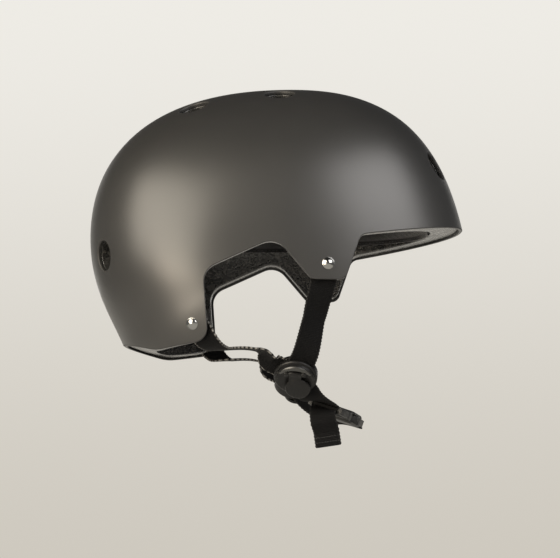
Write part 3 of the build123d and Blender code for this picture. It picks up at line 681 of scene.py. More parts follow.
def makeWeaveGroup():
    # Webbing: cross ribs of paired yarns, fine warp lines, and fibres along each
    tree, i = surfaceGroup("wovenRibs", {
        "Weave": None, "Rib": 1.2 * mm, "Yarn": 0.75 * mm, "Loop": 2.4 * mm, "Selvedge": 0.0,
        "Depth": 0.6, "Dark": (0.006, 0.006, 0.007, 1), "Light": (0.03, 0.03, 0.032, 1),
        "Edge": (0.06, 0.06, 0.06, 1)})
    along, across = wire(tree, "ShaderNodeSeparateXYZ", {"Vector": i["Weave"]}).outputs[:2]
    row = sums(tree, "DIVIDE", along, i["Rib"])
    column = sums(tree, "DIVIDE", across, i["Yarn"])

    def swing(value, shift=0.0):
        wave = sums(tree, "COSINE", sums(tree, "MULTIPLY_ADD", value, 2 * math.pi, shift))
        return sums(tree, "MULTIPLY_ADD", wave, 0.5, 0.5)

    odd = sums(tree, "MODULO", sums(tree, "FLOOR", column), 2.0)
    floats = swing(sums(tree, "MULTIPLY_ADD", odd, 0.5, row))
    knot = sums(tree, "MULTIPLY", floats, swing(column, math.pi))
    stretch = wire(tree, "ShaderNodeVectorMath", {0: i["Weave"], 1: (1200.0, 9000.0, 1.0)},
                   operation="MULTIPLY")
    fibre = noiseAt(tree, stretch.outputs["Vector"], 1.0, 2.0)
    ribs = sums(tree, "MULTIPLY_ADD", swing(row), 0.45, knot)
    height = sums(tree, "MULTIPLY_ADD", fibre, 0.35, ribs)
    tone = mixed(tree, sums(tree, "MULTIPLY", knot, fibre), i["Dark"], i["Light"])
    loop = sums(tree, "MULTIPLY", i["Selvedge"], swing(sums(tree, "DIVIDE", along, i["Loop"])))
    return endGroup(tree, mixed(tree, loop, tone, i["Edge"]),
                    rangeOf(tree, fibre, 0.3, 0.7, 0.55, 0.8),
                    bumpOf(tree, height, i["Depth"], 0.16 * mm))


def makeKnitGroup():
    # Pad cover: a fine brushed knit
    tree, i = surfaceGroup("brushedKnit", {
        "Place": None, "Loops": 900.0, "Depth": 0.45, "Dark": (0.008, 0.008, 0.009, 1),
        "Light": (0.035, 0.035, 0.038, 1)})
    loops = wire(tree, "ShaderNodeTexVoronoi", {"Vector": i["Place"], "Scale": i["Loops"],
                                                "Randomness": 0.35}, distance="CHEBYCHEV")
    pile = noiseAt(tree, i["Place"], 4200.0, 3.0)
    patch = noiseAt(tree, i["Place"], 70.0, 2.0)
    height = sums(tree, "MULTIPLY_ADD", loops.outputs["Distance"], -0.8, pile)
    shade = rangeOf(tree, sums(tree, "MULTIPLY", pile, patch), 0.12, 0.42)
    return endGroup(tree, mixed(tree, shade, i["Dark"], i["Light"]),
                    rangeOf(tree, pile, 0.0, 1.0, 0.75, 0.95),
                    bumpOf(tree, height, i["Depth"], 0.35 * mm))


def patternedMaterial(name, group, inputs, specular, sheen, woven=False):
    material, tree, shader = nodeMaterial(name)
    if woven:
        where = {"Weave": wire(tree, "ShaderNodeUVMap", uv_map="weave").outputs["UV"],
                 "Selvedge": markOf(tree, "selvedge")}
    else:
        where = {"Place": placeOf(tree)}
    surface = wire(tree, "ShaderNodeGroup", {**where, **inputs}, node_tree=group).outputs
    feed(tree, shader, surface["Colour"], surface["Roughness"], surface["Normal"])
    shader.inputs["Specular IOR Level"].default_value = specular
    shader.inputs["Sheen Weight"].default_value = sheen
    shader.inputs["Sheen Roughness"].default_value = 0.45
    return material


def metalMaterial(name, colour, smooth, rough, scratch):
    material, tree, shader = nodeMaterial(name)
    stretch = wire(tree, "ShaderNodeMapping", {"Vector": placeOf(tree), "Scale": (1.0, 1.0, 6.0)})
    marks = noiseAt(tree, stretch.outputs["Vector"], scratch, 4.0)
    shader.inputs["Base Color"].default_value = (*colour, 1)
    shader.inputs["Metallic"].default_value = 1.0
    tree.links.new(rangeOf(tree, marks, 0.35, 0.7, smooth, rough), shader.inputs["Roughness"])
    tree.links.new(bumpOf(tree, marks, 0.06, 0.1 * mm), shader.inputs["Normal"])
    return material


grainGroup, beadGroup = makeGrainGroup(), makeBeadGroup()
weaveGroup, knitGroup = makeWeaveGroup(), makeKnitGroup()
threadMaterial = patternedMaterial("sewingThread", knitGroup, {
    "Loops": 2600.0, "Depth": 0.5, "Dark": (0.008, 0.008, 0.0085, 1),
    "Light": (0.032, 0.032, 0.034, 1)}, 0.4, 0.3)
slotMaterials = {
    "shell_plastic": mouldedMaterial("satinShell", {
        "grain": 1500.0, "waves": 45.0, "depth": 0.07, "dark": (0.0225, 0.0224, 0.0219),
        "light": (0.0265, 0.0264, 0.0258), "smooth": 0.345, "rough": 0.415, "specular": 0.78,
        # edge: painted shade, a dark line along the shell's rounded rim and vent edges
        "edge": (0.012, 0.0118, 0.0115), "edgeShare": 0.85, "edgeRough": 0.8}),
    "liner_foam": patternedMaterial("blackFoam", beadGroup, {}, 0.95, 0.0),
    "pad_fabric": patternedMaterial("padKnit", knitGroup, {}, 0.25, 0.35),
    "hook_discs": patternedMaterial("hookTape", knitGroup, {
        "Loops": 700.0, "Depth": 0.9, "Light": (0.05, 0.05, 0.05, 1)}, 0.4, 0.0),
    "rivet_metal": metalMaterial("polishedRivet", (0.43, 0.43, 0.42), 0.14, 0.26, 900.0),
    "washer_metal": metalMaterial("platedSteel", (0.5, 0.5, 0.5), 0.3, 0.45, 1400.0),
    "pin_metal": metalMaterial("pinSteel", (0.16, 0.16, 0.165), 0.3, 0.45, 1400.0),
    "webbing": patternedMaterial("blackWebbing", weaveGroup, {
        "Dark": (0.0018, 0.0018, 0.002, 1), "Light": (0.0085, 0.0085, 0.0092, 1),
        "Edge": (0.016, 0.016, 0.016, 1), "Depth": 0.9}, 0.13, 0.02, woven=True),
    "spacer_plastic": mouldedMaterial("spacerPlastic", {
        "grain": 3000.0, "waves": 200.0, "depth": 0.1, "dark": (0.02, 0.02, 0.02),
        "light": (0.03, 0.03, 0.03), "smooth": 0.4, "rough": 0.5, "specular": 0.4}),
    "divider_plastic": mouldedMaterial("dividerPlastic", {
        "grain": 3800.0, "waves": 160.0, "depth": 0.12, "dark": (0.006, 0.006, 0.006),
        "light": (0.010, 0.010, 0.010), "smooth": 0.3, "rough": 0.4, "specular": 0.34}),
    "lever_plastic": mouldedMaterial("leverPlastic", {
        "grain": 3000.0, "waves": 140.0, "depth": 0.05, "dark": (0.006, 0.006, 0.006),
        "light": (0.009, 0.009, 0.009), "smooth": 0.2, "rough": 0.28, "specular": 0.32}),
    "buckle_plastic": mouldedMaterial("bucklePlastic", {
        "grain": 3400.0, "waves": 180.0, "depth": 0.14, "dark": (0.016, 0.0165, 0.0165),
        "light": (0.024, 0.0245, 0.0245), "smooth": 0.42, "rough": 0.52, "specular": 0.36,
        # edge: painted shade over the adjusting bar, nearly black
        "edge": (0.003, 0.003, 0.003), "edgeShare": 1.0, "edgeRough": 0.9}),
}
# The divider's black plastic, given a lighter colour on the hood: a painted highlight on the
# crescent
hoodPlastic = mouldedMaterial("hoodPlastic", {
    "grain": 3800.0, "waves": 160.0, "depth": 0.12, "dark": (0.02, 0.0205, 0.019),
    "light": (0.03, 0.0305, 0.028), "smooth": 0.26, "rough": 0.36, "specular": 0.95})
# The same black webbing with its selvedge painted pale: a painted highlight along the rear
# straps' edge
rearWebbing = patternedMaterial("rearWebbing", weaveGroup, {
    "Dark": (0.0018, 0.0018, 0.002, 1), "Light": (0.0085, 0.0085, 0.0092, 1),
    "Edge": (0.2, 0.197, 0.19, 1), "Depth": 0.9, "Loop": 2.9 * mm}, 0.13, 0.02, woven=True)


# Outer shell
shell = {
    "wall": 3 * mm, "rimSetback": 2.4 * mm, "rimRound": 0.7 * mm, "rimSpacing": 1.6 * mm,
    "ventDiameter": 22 * mm, "ventSetback": 4.0 * mm, "ventRound": 1.6 * mm,
    "ventSpacing": 1.3 * mm, "rows": 130, "columns": 330, "steps": 5, "innerSteps": 2,
    # Each vent's turn up from the front, and out to the sides
    "ventTurns": [(31.1, 11.1), (79.5, 17.2), (106.4, 18.2), (171.1, 29.3)],
}


def ventHoles():
    # The measure of each vent's hole
    outside = formAt(0)
    middle = (-helmetForm["axisBack"], 0, -helmetForm["axisDrop"])
    holes = []
    for turn, sideTurn in shell["ventTurns"]:
        for side in (-1, 1):
            a, b = math.radians(turn), math.radians(sideTurn)
            way = (math.cos(a) * math.cos(b), side * math.sin(b), math.sin(a) * math.cos(b))
            holes.append(holeDistance(*seatOn(outside, middle, way), shell["ventDiameter"] / 2))
    return holes


def makeShell():
    s = shell
    rim = cutOf(rimDistance, s["rimSetback"], s["rimRound"], s["rimSpacing"], s["steps"])
    cuts, innerCuts = [rim], [rim]
    for hole in ventHoles():
        cuts.append(cutOf(hole, s["ventSetback"], s["ventRound"], s["ventSpacing"], s["steps"]))
        innerCuts.append(cutOf(hole, s["rimSetback"], s["rimRound"] / 2, s["ventSpacing"],
                               s["innerSteps"]))
    surface = wallBetween(formAt(0), formAt(s["wall"]), s["rows"], s["columns"], cuts, innerCuts)
    skin = surface.build("shellSkin", slotMaterials["shell_plastic"])
    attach(skin, "root")
    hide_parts("outer_shell")
    print("shell skin made:", len(skin.data.polygons), "faces")


makeShell()

# Foam liner
liner = {
    "outerInset": 3.3 * mm, "innerInset": 23.3 * mm, "inRim": 1.6 * mm, "setback": 3.0 * mm,
    "rimRound": 1.4 * mm, "ventRound": 0.5 * mm, "spacing": 2.0 * mm,
    "rows": 100, "columns": 250, "steps": 4,
}


def makeLiner():
    s = liner

    def rimAbove(p):
        d, way = rimDistance(p)
        return d - s["inRim"], way

    cuts = [cutOf(rimAbove, s["setback"], s["rimRound"], s["spacing"], s["steps"])]
    for hole in ventHoles():
        cuts.append(cutOf(hole, s["setback"], s["ventRound"], s["spacing"], s["steps"]))
    surface = wallBetween(formAt(s["outerInset"]), formAt(s["innerInset"]), s["rows"],
                          s["columns"], cuts, cuts)
    foam = surface.build("foamLiner", slotMaterials["liner_foam"])
    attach(foam, "root")
    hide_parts("eps_liner")
    print("foam liner made:", len(foam.data.polygons), "faces")


makeLiner()

# Webbing, from the rivets through the dividers to the buckle
webbing = {
    "thickness": 1.5 * mm, "step": 0.3 * mm, "gap": 0.15 * mm,
    "ribPitch": 1.2 * mm, "ribHeight": 0.085 * mm, "edgePitch": 2.4 * mm, "edgeReach": 0.22 * mm,
    "faceTo": 8.0 * mm, "faceFade": 1.0 * mm, "edgeFrom": 8.3 * mm, "edgeFade": 0.4 * mm,
    "endReach": 0.2 * mm, "endShares": (0.93, 0.6), "samples": 300, "runSamples": 40,
    "samePlace": 1e-6, "fewest": 8,
    # A quarter of the section, across and up from its middle, in mm
    "section": [(0, 0.75), (1.6, 0.75), (3.2, 0.75), (4.8, 0.75), (6.4, 0.75), (7.7, 0.75),
                (8.1, 0.66), (8.5, 0.75), (8.95, 0.71), (9.28, 0.55), (9.45, 0.3), (9.5, 0)],
}

# The places that the webbing shares with the CAD
rig = {
    "tabForward": 35.75 * mm, "frontUp": -33.7 * mm, "rearForward": -61.0 * mm,
    "rearUp": -76.5 * mm, "depth": 5.35 * mm, "anchorTop": 9 * mm, "anchorRun": 9 * mm,
    "shank": 2.5 * mm, "shankTurns": 28, "shankDepth": 24 * mm,
    "frontTwist": (0.78, 0.58, -0.22),
    "rearDip": (-0.040, -0.079, -0.0932), "rearLevel": (-0.016, -0.080, -0.0938),
    "rearBend": (-0.0098, -0.0794, -0.0966), "bendTwist": (0.24, -0.93, 0.25),
    "rearTwist": (0.1, -0.98, 0.01),
    "divider": (0.013, -0.071, -0.1112), "dividerTilt": 46.0, "dividerTurn": 6.0,
    "frontWay": 18.0, "rearWay": 64.0, "chinWay": 28.0, "layer": 0.9 * mm,
    "reach": 19 * mm, "strapInset": 3 * mm, "chinInset": 6 * mm,
    "buckle": (0.043, -0.016, -0.1368), "yaw": 17.0, "pitch": 7.5, "roll": 20.0,
    "tongueBar": 26 * mm, "housingBar": 31 * mm, "wrap": 2.65 * mm, "doubled": 13 * mm,
    "tailMiddle": (0.0332, -0.049, -0.1445), "tailEnd": (0.0358, -0.0469, -0.1541),
    "tailTurn": (0.985, -0.05, 0.15), "tailWay": (0.15, 0.05, -1.0), "fold": 9 * mm,
    "foldRadius": 0.83 * mm, "foldShare": 0.9, "foldSteps": 14, "backSteps": 20,
    "buttGap": 0.3 * mm, "barSteps": 24, "climb": 8.5 * mm, "bendStart": 2 * mm,
}
mirror = np.array([1, -1, 1])


def dividerFrame():
    tilt, turn = math.radians(rig["dividerTilt"]), math.radians(rig["dividerTurn"])
    out = np.array([-math.sin(turn), -math.cos(turn) * math.cos(tilt),
                    -math.cos(turn) * math.sin(tilt)])
    up = np.array([0, -math.sin(tilt), math.cos(tilt)])
    x = unit(np.cross(up, out))
    return np.array(rig["divider"]), x, np.cross(out, x), out


def buckleFrame():
    yaw, pitch = math.radians(rig["yaw"]), math.radians(rig["pitch"])
    roll = math.radians(rig["roll"])
    x = np.array([math.sin(yaw) * math.cos(pitch), math.cos(yaw) * math.cos(pitch),
                  -math.sin(pitch)])
    out = unit(-np.cross([math.cos(roll), 0, -math.sin(roll)], x))
    return np.array(rig["buckle"]), x, np.cross(out, x), out


def rivetSeats():
    outside = formAt(0)
    spots = {"front": (rig["tabForward"], 0, rig["frontUp"]),
             "rear": (rig["rearForward"], 0, rig["rearUp"])}
    return {end + side: seatOn(outside, spot, (0, way, 0))
            for end, spot in spots.items() for side, way in (("right", -1), ("left", 1))}


seats = rivetSeats()
dividerAt, dividerX, dividerY, dividerOut = dividerFrame()
buckleAt, buckleX, buckleY, buckleOut = buckleFrame()


def dividerMouth(turn, height):
    # A place, the way across the webbing and the way in
    a = math.radians(turn)
    way = -math.sin(a) * dividerX + math.cos(a) * dividerY
    across = math.cos(a) * dividerX + math.sin(a) * dividerY
    if math.cos(a) < 0:
        across = -across
    return dividerAt + way * rig["reach"] + dividerOut * height, across, -way


def anchorExit(seat, towards):
    place, normal = seat
    run = np.array(towards) - place
    run = unit(run - (run @ normal) * normal)
    across = np.cross(run, normal)
    if across[0] < 0:
        across = -across
    return place - normal * rig["depth"] + run * rig["anchorRun"], across, run


def bucklePlace(along, height):
    return buckleAt + buckleX * along + buckleOut * height


def endSlope(knots, points, way):
    # The CAD curve's slope at its first point, where it leaves along way
    t, p = knots[:3], points[:3]
    if len(p) == 2:
        slope = (p[1] - p[0]) / (t[1] - t[0])
    else:
        slope = (p[0] * (2 * t[0] - t[1] - t[2]) / ((t[0] - t[1]) * (t[0] - t[2]))
                 + p[1] * (t[0] - t[2]) / ((t[1] - t[0]) * (t[1] - t[2]))
                 + p[2] * (t[0] - t[1]) / ((t[2] - t[0]) * (t[2] - t[1])))
    way = np.array(way, float)
    return way * np.abs(slope).sum() / np.abs(way).sum()


def strapLine(stations, endWays, runs):
    # Places along webbing and the ways across it there
    points = np.array([s[0] for s in stations], float)
    acrosses = np.array([s[1] for s in stations], float)
    knots = reachOf(points)
    first = endSlope(knots, points, endWays[0])
    last = endSlope(-knots[::-1], points[::-1], endWays[1])
    at = np.linspace(0, knots[-1], webbing["samples"])
    place = curveThrough(knots, points, at, (first, last))
    across = sampled(acrosses, knots, at)
    for end, way, length in ((0, endWays[0], -runs[0]), (-1, endWays[1], runs[1])):
        way = unit(np.array(way, float))
        steps = np.linspace(length, 0, webbing["runSamples"], endpoint=False)
        extra = place[end] + way * steps[:, None]
        side = unit(across[end] - (across[end] @ way) * way)
        sides = np.repeat(side[None], len(steps), 0)
        if end == 0:
            place, across = np.vstack([extra, place]), np.vstack([sides, across])
        else:
            place, across = np.vstack([place, extra[::-1]]), np.vstack([across, sides])
    return place, across


def wrapLine(barPlace, way):
    # Round a bar, from the inner side to the outer
    turns = np.linspace(math.pi, 0, rig["barSteps"])
    places = [bucklePlace(barPlace + way * rig["wrap"] * math.sin(a), rig["wrap"] * math.cos(a))
              for a in turns]
    return np.array(places), np.repeat(buckleY[None], len(turns), 0)


def joinLines(*lines):
    return np.vstack([l[0] for l in lines]), np.vstack([l[1] for l in lines])


def flipLine(line):
    # The same webbing on the left side
    return line[0] * mirror, line[1] * mirror


def evenLine(line):
    # Even steps along it, with the way along, across and out
    place, across = line
    gap = np.linalg.norm(np.diff(place, axis=0), axis=1)
    keep = np.concatenate([[True], gap > webbing["samePlace"]])
    place, across = place[keep], across[keep]
    reach = reachOf(place)
    count = max(webbing["fewest"], int(reach[-1] / webbing["step"]))
    at = np.linspace(0, reach[-1], count)
    place, across = sampled(place, reach, at), sampled(across, reach, at)
    along = unit(np.gradient(place, axis=0))
    across = unit(across - dot(across, along) * along)
    return at, place, along, across, np.cross(along, across)


def webbingRing():
    # The section's ring, the way round it, and how much of each point is face and edge
    quarter = np.array(webbing["section"]) * mm
    top = np.vstack([quarter[:0:-1] * [-1, 1], quarter])
    ring = np.vstack([top, top[-2:0:-1] * [1, -1]])
    wide = np.abs(ring[:, 0])
    face = np.clip((webbing["faceTo"] - wide) / webbing["faceFade"], 0, 1)
    edge = np.clip((wide - webbing["edgeFrom"]) / webbing["edgeFade"], 0, 1)
    return ring, reachOf(np.vstack([ring, ring[:1]])), face, edge


def makeWebbing(name, node, line, material):
    at, place, along, across, out = evenLine(line)
    ring, girth, face, edge = webbingRing()
    # Ribs swell its faces, and loops of yarn stand out along its edges
    rib = np.cos(2 * math.pi * at / webbing["ribPitch"])
    loop = np.cos(2 * math.pi * at / webbing["edgePitch"])
    a = ring[None, :, 0] + np.sign(ring[:, 0]) * edge * webbing["edgeReach"] * loop[:, None]
    h = ring[None, :, 1] + np.sign(ring[:, 1]) * face * webbing["ribHeight"] * rib[:, None]
    grid = place[:, None] + a[..., None] * across[:, None] + h[..., None] * out[:, None]
    rows, n = grid.shape[:2]
    last = rows - 1
    points = [grid.reshape(-1, 3)]
    starts = [(r * n, (r + 1) * n) for r in range(last)]
    # A smaller ring softens each end
    aShare, hShare = webbing["endShares"]
    for r, way in ((0, -1), (last, 1)):
        starts.append((r * n, (rows + len(points) - 1) * n))
        soft = place[r] + aShare * a[r][:, None] * across[r] + hShare * h[r][:, None] * out[r]
        points.append(soft + way * webbing["endReach"] * along[r])
    faces = [(low + c, low + (c + 1) % n, high + (c + 1) % n, high + c)
             for low, high in starts for c in range(n)]
    faces += [tuple(range(high, high + n)) for low, high in starts[last:]]
    mesh = meshFrom(name, np.vstack(points), faces=faces)
    # The weave's coordinates, in metres along and round it
    uAt = np.repeat(np.concatenate([at, at[[0, last]]]), n)
    vAt = np.tile(girth[:-1], rows + 2)
    weave = mesh.uv_layers.new(name="weave")
    coords = np.zeros((len(mesh.loops), 2), np.float32)
    for polygon in mesh.polygons:
        corners = np.array(polygon.vertices)
        wraps = len(corners) == 4 and polygon.index % n == n - 1
        v = vAt[corners] + np.where(wraps & (vAt[corners] == 0), girth[-1], 0)
        coords[list(polygon.loop_indices)] = np.stack([uAt[corners], v], 1)
    weave.data.foreach_set("uv", coords.reshape(-1))
    mark = mesh.attributes.new("selvedge", "FLOAT", "POINT")
    mark.data.foreach_set("value", np.tile(edge, rows + 2).astype(np.float32))
    mend(mesh)
    strap = addThing(name, mesh, material)
    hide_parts(node)
    print(name, "made:", len(mesh.polygons), "faces")
    return strap


def pierce(strap, seat):
    # Hole for the rivet's shank
    place, normal = seat
    work = bmesh.new()
    bmesh.ops.create_cone(work, cap_ends=True, segments=rig["shankTurns"],
                          radius1=rig["shank"], radius2=rig["shank"], depth=rig["shankDepth"])
    turn = Vector((0, 0, 1)).rotation_difference(Vector(normal)).to_matrix().to_4x4()
    work.transform(Matrix.Translation(Vector(place)) @ turn)
    mesh = bpy.data.meshes.new("shankHole")
    work.to_mesh(mesh)
    work.free()
    tool = addThing("shankHole", mesh)
    cut = strap.modifiers.new("shankHole", "BOOLEAN")
    cut.operation = "DIFFERENCE"
    cut.object = tool
    cut.solver = "EXACT"
    bakeModifiers(strap)
    bpy.data.objects.remove(tool)


def shellLines():
    # From the right rivets to the divider
    runs = rig["anchorTop"] + rig["anchorRun"], rig["reach"] - rig["strapInset"]
    mouth, mouthAcross, into = dividerMouth(-rig["frontWay"], rig["layer"])
    leave, leaveAcross, outOf = anchorExit(seats["frontright"], mouth)
    front = strapLine([(leave, leaveAcross), ((leave + mouth) / 2, rig["frontTwist"]),
                       (mouth, mouthAcross)], (outOf, into), runs)
    mouth, mouthAcross, into = dividerMouth(rig["rearWay"], -rig["layer"])
    leave, leaveAcross, outOf = anchorExit(seats["rearright"], rig["rearDip"])
    rear = strapLine([(leave, leaveAcross), (rig["rearDip"], rig["rearTwist"]),
                      (rig["rearLevel"], rig["rearTwist"]), (rig["rearBend"], rig["bendTwist"]),
                      (mouth, mouthAcross)], (outOf, into), runs)
    return front, rear


def tailLine():
    # From under the adjusting bar, over it and down to the folded end
    way = unit(np.array(rig["tailWay"]))
    across = np.array(rig["tailTurn"])
    across = unit(across - (across @ way) * way)
    r = rig["foldRadius"]
    main = strapLine([(bucklePlace(-rig["tongueBar"] - rig["wrap"], rig["wrap"]), buckleY),
                      (rig["tailMiddle"], rig["tailTurn"]), (rig["tailEnd"], rig["tailTurn"])],
                     (-buckleX, way), (rig["wrap"], rig["fold"] - 2 * r))
    outer = -np.cross(across, way)
    turns = np.linspace(0, math.pi, rig["foldSteps"])[1:]
    back = np.linspace(0, rig["foldShare"] * rig["fold"], rig["backSteps"])[1:]
    fold = [main[0][-1] + outer * r * (1 - math.cos(a)) + way * r * math.sin(a) for a in turns]
    fold += [fold[-1] - way * s for s in back]
    fold = np.array(fold), np.repeat(across[None], len(fold), 0)
    return joinLines(wrapLine(-rig["tongueBar"], 1), main, fold)


def doubledLine():
    # The sewn end inside the housing's loop, which closes on the strap
    reaches = np.linspace(rig["doubled"], 0, webbing["runSamples"], endpoint=False)
    rise = np.clip(reaches / rig["climb"], 0, 1)
    rise = rise * rise * (3 - 2 * rise)
    heights = -rig["wrap"] + rise * (2 * rig["wrap"] - webbing["thickness"] - webbing["gap"])
    places = np.array([bucklePlace(rig["housingBar"] + x, h) for x, h in zip(reaches, heights)])
    return places, np.repeat(buckleY[None], len(places), 0)


def makeAllWebbing():
    front, rear = shellLines()
    mouth, across, into = dividerMouth(rig["chinWay"] - 180, rig["layer"])
    inside = rig["reach"] - rig["chinInset"]
    chinRight = strapLine([(mouth, across),
                           (bucklePlace(-rig["tongueBar"] - rig["wrap"], -rig["wrap"]), buckleY)],
                          (-into, buckleX), (inside, rig["wrap"] - rig["buttGap"]))
    tail = tailLine()
    mainEnd = rig["housingBar"] + rig["doubled"]
    leftMouth = mouth * mirror
    main = strapLine([(bucklePlace(mainEnd, rig["wrap"]), buckleY), (leftMouth, across * mirror)],
                     (buckleX, into * mirror), (rig["doubled"], inside))
    chinLeft = joinLines(doubledLine(), wrapLine(rig["housingBar"], -1), main)
    black = slotMaterials["webbing"]
    straps = [
        ("frontStrapRight", "front_webbing_right", front, black, "frontright"),
        ("frontStrapLeft", "front_webbing_left", flipLine(front), black, "frontleft"),
        ("rearStrapRight", "rear_webbing_right", rear, rearWebbing, "rearright"),
        ("rearStrapLeft", "rear_webbing_left", flipLine(rear), rearWebbing, "rearleft"),
        ("chinStrapRight", "chin_strap_right", chinRight, black, None),
        ("looseTail", "strap_tail", tail, black, None),
        ("chinStrapLeft", "chin_strap_left", chinLeft, black, None),
    ]
    for name, node, line, material, seat in straps:
        strap = makeWebbing(name, node, line, material)
        if seat:
            pierce(strap, seats[seat])
        if node == "chin_strap_left":
            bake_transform(strap)
        else:
            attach(strap, "root")
    makeSeams(tail, chinLeft)


# Repeats, set by Geometry Nodes

def geometryTree(name, inputs):
    # Tree with named inputs, each with its kind and value, that takes and gives geometry
    tree = bpy.data.node_groups.new(name, "GeometryNodeTree")
    for label, kind, value in [("Geometry", "Geometry", None)] + inputs:
        socket = tree.interface.new_socket(name=label, in_out="INPUT",
                                           socket_type="NodeSocket" + kind)
        if value is not None:
            socket.default_value = value
    tree.interface.new_socket(name="Geometry", in_out="OUTPUT", socket_type="NodeSocketGeometry")
    return tree, tree.nodes.new("NodeGroupInput").outputs


def setAlong(tree, points, way, inputs):
    # Something set at each point, turned to its way, and made real
    turn = wire(tree, "FunctionNodeAlignRotationToVector", {"Vector": way}, axis="Z")
    place = wire(tree, "GeometryNodeInstanceOnPoints", {
        "Points": points, "Rotation": turn.outputs["Rotation"], **inputs})
    return wire(tree, "GeometryNodeRealizeInstances", {
        "Geometry": place.outputs["Instances"]}).outputs["Geometry"]


def endTree(tree, geometry, material):
    paint = wire(tree, "GeometryNodeSetMaterial", {"Geometry": geometry, "Material": material})
    wire(tree, "NodeGroupOutput", {"Geometry": paint.outputs["Geometry"]})
    return tree


def useTree(thing, tree, values):
    # Runs the tree on a thing with these inputs and keeps the mesh
    work = thing.modifiers.new(tree.name, "NODES")
    work.node_group = tree
    for item in tree.interface.items_tree:
        if item.in_out == "INPUT" and item.name in values:
            work[item.identifier] = values[item.name]
    bakeModifiers(thing)


# Stitches over the webbing's ends
seam = {
    "proud": 0.05 * mm, "tailDepths": (0.22, 0.62), "tailHalf": 8 * mm, "tailPoints": 24,
    "box": (0.8 * mm, 5.6 * mm), "boxHalf": 7.5 * mm, "sidePoints": 12,
    "stitch": {"Pitch": 1.9 * mm, "Length": 1.5 * mm, "Thickness": 0.42 * mm},
}


def threadTree():
    # One stitch every pitch along each line that comes in
    tree, i = geometryTree("threadStitches", [
        ("Pitch", "Float", 2.6 * mm), ("Length", "Float", 2.0 * mm),
        ("Thickness", "Float", 0.42 * mm), ("Material", "Material", None)])
    curve = wire(tree, "GeometryNodeMeshToCurve", {"Mesh": i["Geometry"]})
    dots = wire(tree, "GeometryNodeCurveToPoints", {"Curve": curve.outputs["Curve"],
                                                    "Length": i["Pitch"]}, mode="LENGTH")
    bead = wire(tree, "GeometryNodeMeshUVSphere", {"Segments": 8, "Rings": 6, "Radius": 0.5})
    size = wire(tree, "ShaderNodeCombineXYZ", {"X": i["Thickness"], "Y": i["Thickness"],
                                               "Z": i["Length"]})
    stitches = setAlong(tree, dots.outputs["Points"], dots.outputs["Tangent"], {
        "Instance": bead.outputs["Mesh"], "Scale": size.outputs["Vector"]})
    smooth = wire(tree, "GeometryNodeSetShadeSmooth", {"Geometry": stitches})
    return endTree(tree, smooth.outputs["Geometry"], i["Material"])


def makeStitches(name, lines, body, sizes):
    points, edges = [], []
    for line in lines:
        start = len(points)
        points.extend(line)
        edges.extend((i, i + 1) for i in range(start, len(points) - 1))
    thread = addThing(name, meshFrom(name, points, edges=edges))
    useTree(thread, stitchTree, {**sizes, "Material": threadMaterial})
    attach(thread, body)


def seamPlaces(line, starts, sides, face):
    # Polyline over webbing: distances along from its end, and places across
    at, place, _, across, out = evenLine(line)
    height = face * (webbing["thickness"] / 2 + seam["proud"])
    points = []
    for s, a in zip(starts, sides):
        i = min(int(np.searchsorted(at, s if s >= 0 else at[-1] + s)), len(at) - 1)
        points.append(place[i] + across[i] * a + out[i] * height)
    return points


def makeSeams(tail, doubled):
    # Two rows over the tail's fold, and a box over the doubled end
    seams = []
    sides = np.linspace(-seam["tailHalf"], seam["tailHalf"], seam["tailPoints"])
    for depth in seam["tailDepths"]:
        back = np.full(len(sides), (depth - rig["foldShare"]) * rig["fold"])
        seams += [seamPlaces(tail, back, sides, face) for face in (1, -1)]
    makeStitches("tailSeams", seams, "root", seam["stitch"])
    half, low, high = seam["boxHalf"], *seam["box"]
    box = [(low, -half), (low, half), (high, half), (high, -half), (low, -half)]
    seams = []
    for a, b in zip(box, box[1:]):
        starts, sides = (np.linspace(a[k], b[k], seam["sidePoints"]) for k in (0, 1))
        seams += [seamPlaces(doubled, starts, sides, face) for face in (1, -1)]
    makeStitches("doubledSeams", seams, "socket", seam["stitch"])


stitchTree = threadTree()
makeAllWebbing()

# Hard pieces, from the CAD's own shapes with their edges rounded
hardware = {
    "merge": 2e-6, "flat": 1.2, "sharp": 38.0, "segments": 3, "barReach": 2.6 * mm,
    # Node, name, body, slot and the radius of its edges in mm
    "pieces": [
        ("divider_housing_right", "dividerBodyRight", "root", "divider_plastic", 0.45),
        ("divider_housing_left", "dividerBodyLeft", "root", "divider_plastic", 0.45),
        ("divider_lever_right", "lockLeverRight", "lever_right", "lever_plastic", 0.6),
        ("divider_lever_left", "lockLeverLeft", "lever_left", "lever_plastic", 0.6),
        ("divider_pins", "dividerPins", "root", "pin_metal", 0.15),
        ("buckle_housing", "buckleSocket", "socket", "buckle_plastic", 0.4),
        ("buckle_tongue", "buckleTongue", "root", "buckle_plastic", 0.35),
        ("prong_front", "frontProng", "prong_front", "buckle_plastic", 0.25),
        ("prong_rear", "rearProng", "prong_rear", "buckle_plastic", 0.25),
        ("rivet_spacers", "rivetSpacers", "root", "spacer_plastic", 0.15),
        ("rivet_washers", "rivetWashers", "root", "washer_metal", 0.1),
    ],
}


def shadeBar(mesh):
    # The adjusting bar is made rough, and painted nearly black as painted shade
    places = np.zeros(len(mesh.vertices) * 3)
    mesh.vertices.foreach_get("co", places)
    away = places.reshape(-1, 3) - bucklePlace(-rig["tongueBar"], 0)
    away = away - dot(away, buckleY) * buckleY
    near = np.linalg.norm(away, axis=1) < hardware["barReach"]
    mark = mesh.attributes.new("edge", "FLOAT", "POINT")
    mark.data.foreach_set("value", near.astype(float))


